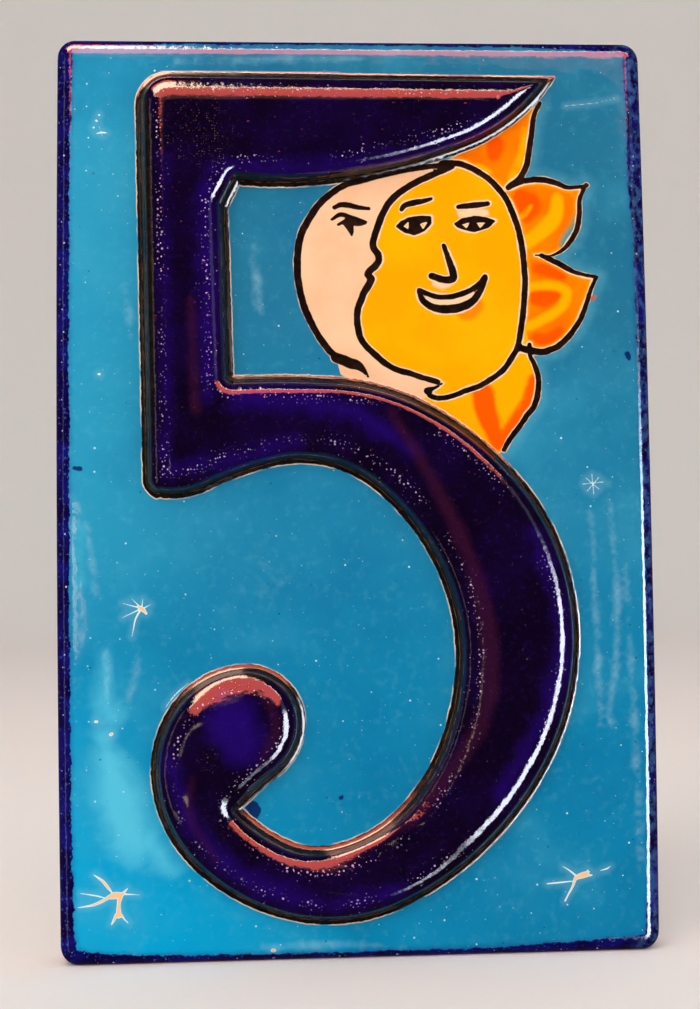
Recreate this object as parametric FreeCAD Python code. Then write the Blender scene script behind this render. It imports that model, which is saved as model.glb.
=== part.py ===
import FreeCAD, Part
import math
import os

V = FreeCAD.Vector

# House number tile: one piece of pressed and glazed earthenware. Sizes are in mm.
# It stands as on a wall: +X to the viewer's right, +Z up, the front faces -Y.
# The origin is the middle of the flat back.

# The slab
TILE_WIDTH = 108.0
TILE_HEIGHT = 166.0
SLAB_THICKNESS = 11.0
CORNER_RADIUS = 3.2     # plan rounding of the four corners
SIDE_BOW = 0.5          # how far each long side swells out between its corners
FRONT_ARRIS = 2.2       # rounding of the front edge
BACK_BEVEL = 0.8        # slope trimmed off the back edge

# The raised numeral, centred on the slab
SIDE_MARGIN = 14.8      # ground left at each side of the numeral
END_MARGIN = 6.6        # ground left above and below it
RELIEF = 4.4            # height of the numeral over the ground
SHOULDER = 3.0          # rounding of the numeral's upper edge
FOOT_COVE = 0.8         # hollow where the numeral meets the ground
TOP_CORNER = 6.0        # plan rounding of the stem's top left corner
LOWER_CORNER = 3.6      # plan rounding of the stem's lower left corner

NUMERAL_WIDTH = TILE_WIDTH - 2 * SIDE_MARGIN
NUMERAL_HEIGHT = TILE_HEIGHT - 2 * END_MARGIN

# The numeral's outline, in a box that runs from -1 to 1 across and from -1 to 1 upwards.
STEM_TOP = (-1.0, 1.0)
ARM_TIP = (0.948, 0.992)
CROOK_TOP = (-0.53, 0.732)      # the small slant between the arm's underside and the stem
CROOK_SIDE = (-0.585, 0.676)
CROOK_FOOT = (-0.567, 0.273)    # where the stem's inner side meets the bowl
NOTCH = (-0.548, -0.732)        # the sharp nick between the ball and the bowl
STEM_FOOT = (-0.975, 0.002)

# The curved stretches. Each is a list of places with the outline's heading there in degrees.
ARM_UNDERSIDE = [(ARM_TIP, -123), ((-0.06, 0.738), -172), (CROOK_TOP, 174)]
BOWL_OUTSIDE = [
    (CROOK_FOOT, 2), ((0.31, 0.212), -27), ((0.75, 0.03), -50), ((0.966, -0.508), -105),
    ((0.664, -0.786), -132), ((-0.35, -0.986), 165), ((-0.948, -0.65), 92),
    ((-0.542, -0.402), 4), ((-0.268, -0.575), -107), (NOTCH, -135),
]
BOWL_INSIDE = [
    (NOTCH, -45), ((-0.132, -0.821), 11), ((0.374, -0.574), 70), ((0.374, -0.202), 112),
    ((-0.384, 0.063), -167), (STEM_FOOT, 160),
]

TOUCH = 1e-4            # how near a point counts as lying on a level


def on_front(place):
    """A place in the numeral's box as a point on the slab's front."""
    across, up = place
    return V(across * NUMERAL_WIDTH / 2, -SLAB_THICKNESS, up * NUMERAL_HEIGHT / 2)


def straight(start, end):
    return Part.makeLine(on_front(start), on_front(end))


def heading(degrees):
    turn = math.radians(degrees)
    return V(math.cos(turn), 0, math.sin(turn))


def arc_leaving(start, way, end):
    """The arc from start to end that leaves start along way."""
    chord = end - start
    left = V(-chord.z, 0, chord.x)
    bend = math.atan2(left.dot(way), chord.dot(way))
    return Part.Arc(start, (start + end) / 2 + left * (math.tan(bend / 2) / 2), end).toShape()


def two_arcs(start, way_out, end, way_in):
    """Two arcs that run into each other without a corner, and keep the heading at both ends."""
    span = end - start
    both = way_out + way_in
    spread = 2 * (1 - way_out.dot(way_in))
    along = span.dot(both)
    reach = (math.sqrt(along ** 2 + spread * span.dot(span)) - along) / spread
    join = (start + way_out * reach + end - way_in * reach) / 2
    return [arc_leaving(start, way_out, join), arc_leaving(end, way_in * -1, join)]


def curve(stretch):
    """A smooth run of arcs through the places of a curved stretch."""
    arcs = []
    for (start, turn_out), (end, turn_in) in zip(stretch, stretch[1:]):
        arcs += two_arcs(on_front(start), heading(turn_out), on_front(end), heading(turn_in))
    return arcs


def at_level(shape, level):
    """The edges that lie at one distance from the back."""
    return [
        edge for edge in shape.Edges
        if abs(edge.BoundBox.YMin - level) < TOUCH and abs(edge.BoundBox.YMax - level) < TOUCH
    ]


def make_slab():
    """The slab, with its plan corners and front edge rounded and its back edge bevelled."""
    side = TILE_WIDTH / 2 - SIDE_BOW
    top = TILE_HEIGHT / 2
    corners = [V(-side, 0, top), V(side, 0, top), V(side, 0, -top), V(-side, 0, -top)]
    plan = Part.Wire([
        Part.makeLine(corners[0], corners[1]),
        Part.Arc(corners[1], V(side + SIDE_BOW, 0, 0), corners[2]).toShape(),
        Part.makeLine(corners[2], corners[3]),
        Part.Arc(corners[3], V(-side - SIDE_BOW, 0, 0), corners[0]).toShape(),
    ])
    slab = Part.Face(plan).extrude(V(0, -SLAB_THICKNESS, 0))
    corner_edges = [edge for edge in slab.Edges if edge.BoundBox.YLength > SLAB_THICKNESS / 2]
    slab = slab.makeFillet(CORNER_RADIUS, corner_edges)
    slab = slab.makeFillet(FRONT_ARRIS, at_level(slab, -SLAB_THICKNESS))
    return slab.makeChamfer(BACK_BEVEL, at_level(slab, 0))


def numeral_plan():
    """The closed outline of the numeral where it meets the ground."""
    edges = [straight(STEM_FOOT, STEM_TOP), straight(STEM_TOP, ARM_TIP)]
    edges += curve(ARM_UNDERSIDE)
    edges += [straight(CROOK_TOP, CROOK_SIDE), straight(CROOK_SIDE, CROOK_FOOT)]
    edges += curve(BOWL_OUTSIDE) + curve(BOWL_INSIDE)
    return Part.Wire(edges)


def round_corner(body, place, radius):
    """Rounds the upright edge of the numeral that stands at the place."""
    middle = on_front(place) + V(0, -RELIEF / 2, 0)
    upright = min(body.Edges, key=lambda edge: (edge.CenterOfMass - middle).Length)
    return body.makeFillet(radius, [upright])


def make_numeral():
    """The raised numeral, with two corners of its stem and its whole upper edge rounded."""
    body = Part.Face(numeral_plan()).extrude(V(0, -RELIEF, 0))
    body = round_corner(body, STEM_TOP, TOP_CORNER)
    body = round_corner(body, STEM_FOOT, LOWER_CORNER)
    return body.makeFillet(SHOULDER, at_level(body, -SLAB_THICKNESS - RELIEF))


def make_tile():
    """The slab and the numeral as one body, with a small hollow all round the numeral's foot."""
    tile = make_slab().fuse(make_numeral()).removeSplitter()
    reach_across, reach_up = NUMERAL_WIDTH / 2 + FOOT_COVE, NUMERAL_HEIGHT / 2 + FOOT_COVE
    foot = [
        edge for edge in at_level(tile, -SLAB_THICKNESS)
        if abs(edge.CenterOfMass.x) < reach_across and abs(edge.CenterOfMass.z) < reach_up
    ]
    return tile.makeFillet(FOOT_COVE, foot)


tile = make_tile()
print("solids", len(tile.Solids), "valid", tile.isValid(), "volume in mm3", round(tile.Volume))
os.makedirs("parts", exist_ok=True)
tile.Solids[0].exportStep("parts/number_tile.step")
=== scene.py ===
# %% [markdown]
# # A house number tile of glazed earthenware
# The real tile is one piece of pressed clay with a raised numeral, painted and glazed in one firing.
# The measured model is opened first. What is made here is meant to stay inside its box.

import math

import bpy
import numpy as np
from mathutils import Matrix, Vector, kdtree
from mathutils.geometry import delaunay_2d_cdt


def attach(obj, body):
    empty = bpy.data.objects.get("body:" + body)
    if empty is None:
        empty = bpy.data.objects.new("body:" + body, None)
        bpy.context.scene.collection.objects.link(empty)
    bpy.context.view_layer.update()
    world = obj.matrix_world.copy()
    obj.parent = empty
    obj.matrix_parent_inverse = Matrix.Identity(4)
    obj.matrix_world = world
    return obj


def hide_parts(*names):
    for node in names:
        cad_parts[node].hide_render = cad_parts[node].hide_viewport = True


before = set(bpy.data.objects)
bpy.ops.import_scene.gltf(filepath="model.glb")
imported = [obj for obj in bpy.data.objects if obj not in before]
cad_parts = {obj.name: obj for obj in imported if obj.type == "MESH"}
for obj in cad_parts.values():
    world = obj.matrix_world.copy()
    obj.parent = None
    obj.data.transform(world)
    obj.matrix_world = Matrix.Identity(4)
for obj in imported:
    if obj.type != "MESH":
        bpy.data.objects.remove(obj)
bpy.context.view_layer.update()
MM = 0.001

# %% [markdown]
# ## The camera
# The tile was photographed nearly square on from about 30 cm, so its four corners tell where the
# camera stood. A Blender camera looks along its own -Z, so its three axes are written as columns.

# %% Set the camera where the photograph was taken
PHOTO_WIDTH, PHOTO_HEIGHT = 700, 1009
FOCAL_PIXELS = 1500
CAMERA_PLACE = Vector((-0.01726, -0.27952, -0.01669))
CAMERA_TURN, CAMERA_RISE, CAMERA_ROLL = math.radians(3.373), math.radians(3.062), math.radians(-0.801)

look = Vector((
    math.sin(CAMERA_TURN) * math.cos(CAMERA_RISE),
    math.cos(CAMERA_TURN) * math.cos(CAMERA_RISE),
    math.sin(CAMERA_RISE),
))
level_right = Vector((math.cos(CAMERA_TURN), -math.sin(CAMERA_TURN), 0))
level_up = level_right.cross(look)
right = level_right * math.cos(CAMERA_ROLL) + level_up * math.sin(CAMERA_ROLL)
up = level_up * math.cos(CAMERA_ROLL) - level_right * math.sin(CAMERA_ROLL)
lens = bpy.data.cameras.new("camera")
lens.sensor_width = 36
lens.lens = FOCAL_PIXELS / PHOTO_HEIGHT * lens.sensor_width
lens.clip_start = 0.01
camera = bpy.data.objects.new("camera", lens)
bpy.context.scene.collection.objects.link(camera)
camera.matrix_world = Matrix.Translation(CAMERA_PLACE) @ Matrix((right, up, -look)).transposed().to_4x4()
bpy.context.scene.camera = camera
print("lens", round(lens.lens, 1), "mm")

# %% [markdown]
# ## The outline of the numeral
# The measured model draws the numeral with straight edges and arcs that run smoothly into each
# other. The same places and directions are used here, in a box from -1 to 1, so that the relief
# falls on the model's. An arc that leaves a place in one direction and reaches another place is
# easy to walk along: the chord to each of its points turns evenly.

# %% Walk along one arc
ALONG = 0.5


def arc(start, way, end):
    """Points from start up to, not including, end, with the direction at each."""
    chord = end - start
    reach = math.hypot(*chord)
    turn = (math.atan2(chord[1], chord[0]) - way + math.pi) % (2 * math.pi) - math.pi
    if abs(turn) < 1e-6:
        turn = 1e-6
    steps = max(2, round(reach * turn / math.sin(turn) / ALONG))
    share = np.arange(steps) / steps
    chords = reach * np.sin(turn * share) / math.sin(turn)
    aim = way + turn * share
    points = start + np.stack([np.cos(aim), np.sin(aim)], 1) * chords[:, None]
    return points, way + 2 * turn * share


# %% [markdown]
# Between two places with given directions stand two arcs that meet smoothly. Where they meet
# follows from one quadratic equation.

# %% Join two places by two arcs
def direction(angle):
    return np.array([math.cos(angle), math.sin(angle)])


def two_arcs(start, way_out, end, way_in):
    out, into = direction(way_out), direction(way_in)
    span = end - start
    spread = 2 * (1 - out @ into)
    along = span @ (out + into)
    reach = (math.sqrt(along**2 + spread * span @ span) - along) / spread
    join = (start + out * reach + end - into * reach) / 2
    first = arc(start, way_out, join)
    step = join - start
    join_way = 2 * math.atan2(step[1], step[0]) - way_out
    second = arc(join, join_way, end)
    return [first, second]


# %% [markdown]
# The edges are listed clockwise, seen from the front, so the clay of the numeral is always on the
# right hand. The two corners of the stem are rounded by hand on the real one.

# %% Lay out the numeral
HALF_WIDTH, HALF_HEIGHT = 39.2, 76.4
STEM_TOP = (-1.0, 1.0)
ARM_TIP = (0.948, 0.992)
CROOK_TOP = (-0.53, 0.732)
CROOK_SIDE = (-0.585, 0.676)
CROOK_FOOT = (-0.567, 0.273)
NOTCH = (-0.548, -0.732)
STEM_FOOT = (-0.975, 0.002)
ARM_UNDERSIDE = [(ARM_TIP, -123), ((-0.06, 0.738), -172), (CROOK_TOP, 174)]
BOWL_OUTSIDE = [
    (CROOK_FOOT, 2), ((0.31, 0.212), -27), ((0.75, 0.03), -50), ((0.966, -0.508), -105),
    ((0.664, -0.786), -132), ((-0.35, -0.986), 165), ((-0.948, -0.65), 92),
    ((-0.542, -0.402), 4), ((-0.268, -0.575), -107), (NOTCH, -135),
]
BOWL_INSIDE = [
    (NOTCH, -45), ((-0.132, -0.821), 11), ((0.374, -0.574), 70), ((0.374, -0.202), 112),
    ((-0.384, 0.063), -167), (STEM_FOOT, 160),
]


def on_tile(place):
    return np.array([place[0] * HALF_WIDTH, place[1] * HALF_HEIGHT])


def straight(start, end):
    way = end - start
    return arc(start, math.atan2(way[1], way[0]), end)


def curve(stretch):
    runs = []
    for (start, turn_out), (end, turn_in) in zip(stretch, stretch[1:]):
        runs += two_arcs(on_tile(start), math.radians(turn_out), on_tile(end), math.radians(turn_in))
    return runs


# %% [markdown]
# A rounded corner is one more arc, from a point before the corner to a point after it.

# %% Round a corner between two directions
def rounded(corner, way_in, way_out, radius):
    """Start, arc and end of the rounding of a corner that turns to the right."""
    turn = (way_in - way_out) % (2 * math.pi)
    back = radius * math.tan(turn / 2)
    start = corner - direction(way_in) * back
    end = corner + direction(way_out) * back
    return start, arc(start, way_in, end), end


TOP_CORNER, LOWER_CORNER = 6.0, 3.6
stem_foot, stem_top, arm_tip = on_tile(STEM_FOOT), on_tile(STEM_TOP), on_tile(ARM_TIP)
stem_way = math.atan2(*(stem_top - stem_foot)[::-1])
top_way = math.atan2(*(arm_tip - stem_top)[::-1])
inside_runs = curve(BOWL_INSIDE)
foot_start, foot_arc, foot_end = rounded(stem_foot, math.radians(160), stem_way, LOWER_CORNER)
top_start, top_arc, top_end = rounded(stem_top, stem_way, top_way, TOP_CORNER)
last_points, last_ways = inside_runs[-1]
kept = (last_points - foot_start) @ direction(math.radians(160)) < -0.1
inside_runs[-1] = (last_points[kept], last_ways[kept])
runs = [foot_arc, straight(foot_end, top_start), top_arc, straight(top_end, arm_tip)]
runs += curve(ARM_UNDERSIDE)
crook_top, crook_side, crook_foot = on_tile(CROOK_TOP), on_tile(CROOK_SIDE), on_tile(CROOK_FOOT)
runs += [straight(crook_top, crook_side), straight(crook_side, crook_foot)]
runs += curve(BOWL_OUTSIDE) + inside_runs
numeral_line = np.concatenate([points for points, ways in runs])
way_out = np.concatenate([ways for points, ways in runs])
print("numeral outline:", len(numeral_line), "points")

# %% [markdown]
# ## Distances
# Nearly all of the tile follows distances: how far a point lies from the numeral's foot, from the
# tile's edge, or from the middle of a brush stroke. Distances change evenly across a triangle, so a
# painted edge stays sharp though the mesh is coarser than the edge. One helper measures to a line
# of points, and one tells which side of a closed line a point is on.

# %% Measure to a line and tell inside from outside
CHUNK = 500


def distance_to(points, line, closed=True):
    """Distance of each point to a closely sampled line, the segment there and the place along it."""
    tree = kdtree.KDTree(len(line))
    for i, (x, z) in enumerate(line):
        tree.insert((x, z, 0), i)
    tree.balance()
    nearest = np.array([tree.find((x, z, 0))[1] for x, z in points], int)
    best = np.full(len(points), 1e9)
    segment, along = np.zeros(len(points), int), np.zeros(len(points))
    last = len(line) if closed else len(line) - 1
    for first in (nearest - 1, nearest):
        first = first % len(line) if closed else np.clip(first, 0, last - 1)
        start = line[first]
        span = line[(first + 1) % len(line)] - start
        share = np.clip(((points - start) * span).sum(1) / np.maximum((span**2).sum(1), 1e-12), 0, 1)
        gap = np.hypot(*(points - start - span * share[:, None]).T)
        nearer = gap < best
        best[nearer], segment[nearer], along[nearer] = gap[nearer], first[nearer], share[nearer]
    return best, segment, along


def inside(points, line):
    """Whether a level ray from each point crosses the closed line an odd number of times."""
    following = np.roll(line, -1, 0)
    slope = (following - line)[:, 0] / np.where(following[:, 1] == line[:, 1], 1, (following - line)[:, 1])
    within = np.zeros(len(points), bool)
    for i in range(0, len(points), CHUNK):
        x, z = points[i : i + CHUNK, :1], points[i : i + CHUNK, 1:]
        spans = (line[:, 1] > z) != (following[:, 1] > z)
        within[i : i + CHUNK] = (spans & (x < line[:, 0] + (z - line[:, 1]) * slope)).sum(1) % 2 == 1
    return within


# %% [markdown]
# ## The brushwork
# The painter drew a sun and a moon in eclipse with a loaded brush. Each stroke is a few places
# along its middle, in millimetres from the tile's centre, with half its width there. A smooth
# curve is passed through the places, as a bent lath would.

# %% Pass a smooth stroke through places
def through(places, step=0.35):
    """A smooth line through the places, as (x, z, half width) rows."""
    rows = np.array(places, float)
    padded = np.concatenate([[2 * rows[0] - rows[1]], rows, [2 * rows[-1] - rows[-2]]])
    pieces = []
    for before, start, end, after in zip(padded, padded[1:], padded[2:], padded[3:]):
        count = max(1, int(math.hypot(*(end - start)[:2]) / step))
        t = (np.arange(count) / count)[:, None]
        pieces.append(0.5 * (
            2 * start + (end - before) * t + (2 * before - 5 * start + 4 * end - after) * t**2
            + (3 * start - before - 3 * end + after) * t**3
        ))
    return np.concatenate(pieces + [rows[-1:]])


def stroke(places, start, middle=None, end=None):
    """A stroke that is start, middle and end wide, halved."""
    middle = start if middle is None else middle
    end = middle if end is None else end
    share = np.linspace(0, 1, len(places))
    widths = np.interp(share, [0, 0.5, 1], [start, middle, end])
    return through([(x, z, w) for (x, z), w in zip(places, widths)])


# %% [markdown]
# The outlines of the moon, the sun and its four petals come first, then the two faces.

# %% Draw the moon, the sun and the petals
MOON_BACK = [
    (16.1, 59.5), (10.7, 58.8), (5.4, 57.7), (1.7, 56.7), (-1.1, 56.0), (-3.6, 54.6), (-6.1, 52.5),
    (-8.0, 49.8),
    (-9.5, 47.0), (-10.2, 43.8), (-10.4, 40.4), (-10.0, 36.8), (-9.2, 33.5), (-8.0, 30.7), (-6.6, 28.1),
    (-5.0, 25.8), (-3.6, 24.5),
]
MOON_FLICK = [(-3.6, 24.3), (-2.3, 23.8), (-0.9, 23.2), (0.4, 22.8), (1.4, 21.9), (2.2, 20.7)]
MOON_PROFILE = [
    (18.0, 59.3), (15.8, 58.3), (13.2, 57.2), (10.8, 56.0), (8.3, 54.4), (6.4, 52.5), (5.2, 50.4),
    (4.3, 48.2),
    (3.6, 46.1), (3.4, 44.8), (3.7, 43.9), (4.3, 43.1), (4.4, 42.0), (3.9, 41.1), (3.0, 40.3), (2.4, 39.4),
    (3.0, 38.6), (2.5, 37.5), (1.9, 36.5), (1.5, 35.8), (1.1, 34.7), (0.6, 33.5), (0.3, 31.5), (0.5, 29.4),
    (1.0, 27.6), (2.2, 26.0), (3.8, 24.5), (5.4, 23.1), (7.4, 22.0), (9.8, 21.3), (11.5, 20.7),
    (13.2, 20.2),
    (14.8, 19.7),
]
SUN_EDGE = [
    (16.2, 59.9), (18.6, 59.9), (20.7, 59.4), (23.5, 57.9), (25.5, 56.3), (27.6, 53.8), (28.9, 51.1),
    (29.9, 48.2), (30.6, 44.9), (30.9, 41.6), (31.1, 38.4), (30.9, 35.1), (30.5, 31.3), (29.8, 27.3),
    (29.3, 25.6), (28.2, 23.8), (26.9, 22.0), (25.3, 20.7), (23.7, 19.7), (22.3, 18.9), (20.2, 18.2),
    (18.0, 17.4), (16.3, 16.9), (14.6, 16.8), (13.2, 17.3),
]
SUN_CURL = [(13.0, 18.1), (13.7, 18.5), (14.8, 18.9), (15.7, 19.5)]
PETAL_1 = [
    (34.5, 71.1), (33.4, 68.9), (33.0, 66.5), (32.6, 63.9), (32.2, 61.4), (31.6, 59.0),
    (30.3, 56.9), (28.6, 55.6),
]
PETAL_2_TOP = [(28.3, 55.4), (30.9, 56.5), (34.1, 56.9), (37.1, 56.3), (39.5, 55.4), (43.0, 55.8)]
PETAL_2_SIDE = [
    (42.7, 56.0), (41.5, 53.2), (41.4, 50.7), (41.0, 48.2), (40.1, 46.2), (38.4, 44.1),
    (36.0, 42.8), (33.0, 42.9),
]
PETAL_3_TOP = [(34.3, 42.8), (35.1, 42.4), (37.6, 41.2), (40.4, 39.7), (44.4, 38.8)]
PETAL_3_SIDE = [
    (44.1, 38.5), (43.2, 36.6), (42.4, 34.2), (41.3, 31.4), (39.4, 28.5), (37.3, 26.4), (35.7, 25.6),
    (34.0, 25.1), (31.7, 25.4), (29.9, 25.9),
]
PETAL_4 = [
    (31.7, 26.5), (31.8, 24.3), (32.3, 23.3), (33.0, 21.3), (33.2, 19.5), (33.0, 17.5), (32.3, 15.2),
    (31.1, 13.7), (29.3, 11.2), (27.8, 9.3), (26.6, 7.3),
]
strokes = [
    stroke(MOON_BACK, 0.5, 0.68, 0.62),
    stroke(MOON_FLICK, 0.95, 1.0, 0.2),
    stroke(MOON_PROFILE, 0.6, 0.68, 0.52),
    stroke(SUN_EDGE, 0.58, 0.56, 0.46),
    stroke(SUN_CURL, 0.75, 0.25, 0.12),
    stroke(PETAL_1, 0.4, 0.56, 0.56),
    stroke(PETAL_2_TOP, 0.5, 0.6, 0.3),
    stroke(PETAL_2_SIDE, 0.35, 0.55, 0.12),
    stroke(PETAL_3_TOP, 0.46, 0.54, 0.3),
    stroke(PETAL_3_SIDE, 0.35, 0.56, 0.66),
    stroke(PETAL_4, 0.4, 0.56, 0.46),
]
print("outline strokes:", len(strokes))

# %% [markdown]
# A painted eye is a dark almond with two pale flecks left bare. A dark almond is a closed shape, not
# a stroke, so it is kept apart.

# %% Draw the two faces
strokes += [
    stroke([(8.7, 51.3), (9.3, 52.1), (11.1, 52.6), (12.8, 52.9), (14.2, 53.3)], 0.4, 0.58, 0.3),
    stroke([(19.1, 51.8), (21.8, 52.1), (24.5, 52.4)], 0.45, 0.58, 0.45),
    stroke([
        (16.3, 44.7), (17.1, 42.3), (17.8, 40.1), (17.9, 38.7), (16.4, 38.4), (14.0, 39.1),
    ], 0.4, 0.74, 0.6),
    stroke([
        (11.7, 36.5), (14.5, 35.4), (17.4, 35.3), (20.2, 36.1), (22.3, 37.3), (23.8, 38.9),
    ], 0.45, 0.52, 0.5),
    stroke([
        (11.7, 36.3), (12.3, 34.7), (14.1, 33.4), (16.5, 33.0), (19.3, 33.4), (21.4, 34.5),
        (22.9, 36.5), (23.8, 38.7),
    ], 0.45, 0.85, 0.5),
    stroke([(-3.5, 51.7), (-2.4, 52.2), (-0.9, 52.1), (0.8, 51.7), (2.8, 51.5)], 0.42, 0.55, 0.3),
    stroke([(-4.0, 49.5), (-2.4, 50.4), (-0.7, 49.9), (2.2, 49.0)], 0.3, 0.5, 0.3),
    stroke([(-2.9, 48.5), (-1.3, 49.2), (0.5, 48.7), (2.1, 48.8)], 0.25, 0.5, 0.3),
    stroke([(-1.3, 48.8), (-0.6, 47.7), (-0.4, 46.3)], 0.75, 0.6, 0.12),
]
DARK_ALMONDS = [
    [(7.6, 48.2), (8.5, 49.2), (10.0, 49.9), (11.9, 50.2), (14.1, 50.1), (14.2, 48.7),
     (12.9, 47.3), (11.0, 46.5),
     (9.2, 47.0), (8.2, 47.6)],
    [(18.1, 48.7), (19.7, 49.7), (22.1, 50.2), (24.0, 50.0), (26.0, 49.3), (24.6, 47.9),
     (22.0, 47.1), (20.1, 47.5),
     (18.8, 48.0)],
]
PALE_FLECKS = [
    [(9.0, 48.2), (9.9, 49.0), (10.0, 47.6)],
    [(12.0, 48.7), (13.6, 49.1), (12.5, 47.7)],
    [(19.7, 48.5), (21.2, 49.1), (20.6, 47.8)],
    [(22.4, 48.9), (24.0, 48.9), (23.0, 47.9)],
]
BARE_LIDS = [
    stroke([(19.4, 50.5), (21.6, 50.7), (24.2, 50.7)], 0.5, 0.75, 0.5),
    stroke([(14.4, 37.7), (15.9, 37.3), (17.3, 37.4)], 0.2, 0.45, 0.2),
]
MOUTH = [
    (12.5, 35.9), (14.5, 35.1), (17.4, 34.9), (20.2, 35.7), (22.5, 37.1), (20.9, 34.8), (18.0, 33.6), (14.4, 33.8),
]
print("all strokes:", len(strokes))

# %% [markdown]
# Each field of colour is a closed shape that ends under the black lines round it, or under the numeral.

# %% Lay out the fields of colour
moon_field = np.array(MOON_BACK[::-1] + MOON_PROFILE + [(13.0, 16.4), (3.1, 17.8), (-2.8, 21.2)])
sun_field = np.array(MOON_PROFILE[::-1] + SUN_EDGE)
petal_fields = [
    np.array(PETAL_1 + SUN_EDGE[5::-1] + [(22.0, 62.9)]),
    np.array(PETAL_2_TOP + PETAL_2_SIDE + [
        (31.1, 41.5), (30.6, 44.9), (29.9, 48.2), (28.9, 51.1), (27.6, 53.8),
    ]),
    np.array(PETAL_3_TOP + PETAL_3_SIDE + [(30.5, 31.3), (31.1, 38.4), (31.0, 41.7), (32.2, 42.9)]),
    np.array(PETAL_4 + [(23.8, 5.3), (11.0, 16.4)] + SUN_EDGE[:11:-1]),
]
ORANGE_STREAKS = [
    stroke([(23.0, 17.5), (23.3, 15.0), (24.4, 11.6), (25.6, 8.2)], 1.9, 1.8, 1.0),
    stroke([(32.1, 20.2), (31.1, 16.5), (29.2, 13.4), (26.3, 8.8)], 0.7, 0.95, 0.9),
    stroke([(26.2, 63.3), (25.8, 61.6)], 1.5, 1.7, 1.2),
    stroke([(30.5, 53.3), (32.3, 52.2), (31.5, 50.5)], 1.7, 1.9, 1.5),
    stroke([(32.7, 35.2), (34.7, 35.0), (36.7, 35.6)], 1.3, 1.5, 0.9),
    stroke([(33.2, 40.5), (35.7, 40.2), (37.9, 38.9)], 0.8, 1.2, 0.7),
    stroke([(32.7, 27.7), (35.1, 27.3), (37.3, 28.8)], 0.8, 1.1, 0.8),
    stroke([(19.7, 32.0), (21.0, 32.5), (22.5, 33.7)], 0.9, 1.2, 0.9),
]
YELLOW_STREAKS = [
    stroke([(37.3, 53.3), (36.9, 50.1), (34.6, 47.6), (31.6, 45.3)], 1.1, 1.4, 1.2),
    stroke([
        (31.6, 37.0), (34.8, 37.4), (37.5, 37.0), (38.8, 35.7), (37.4, 33.0), (34.4, 31.2), (31.5, 29.7),
    ], 0.7, 0.85, 0.8),
    stroke([(30.4, 49.8), (31.5, 50.7), (32.5, 52.0)], 0.25, 0.35, 0.2),
    stroke([(31.5, 66.1), (30.8, 61.4), (28.9, 57.2)], 0.4, 0.6, 0.5),
    stroke([(22.9, 59.6), (25.0, 58.3)], 0.3, 0.5, 0.3),
]
GREEN_BLEED = [stroke([(40.9, 50.2), (40.2, 48.0), (39.0, 46.3), (38.2, 45.0)], 0.3, 0.85, 0.6)]
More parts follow.
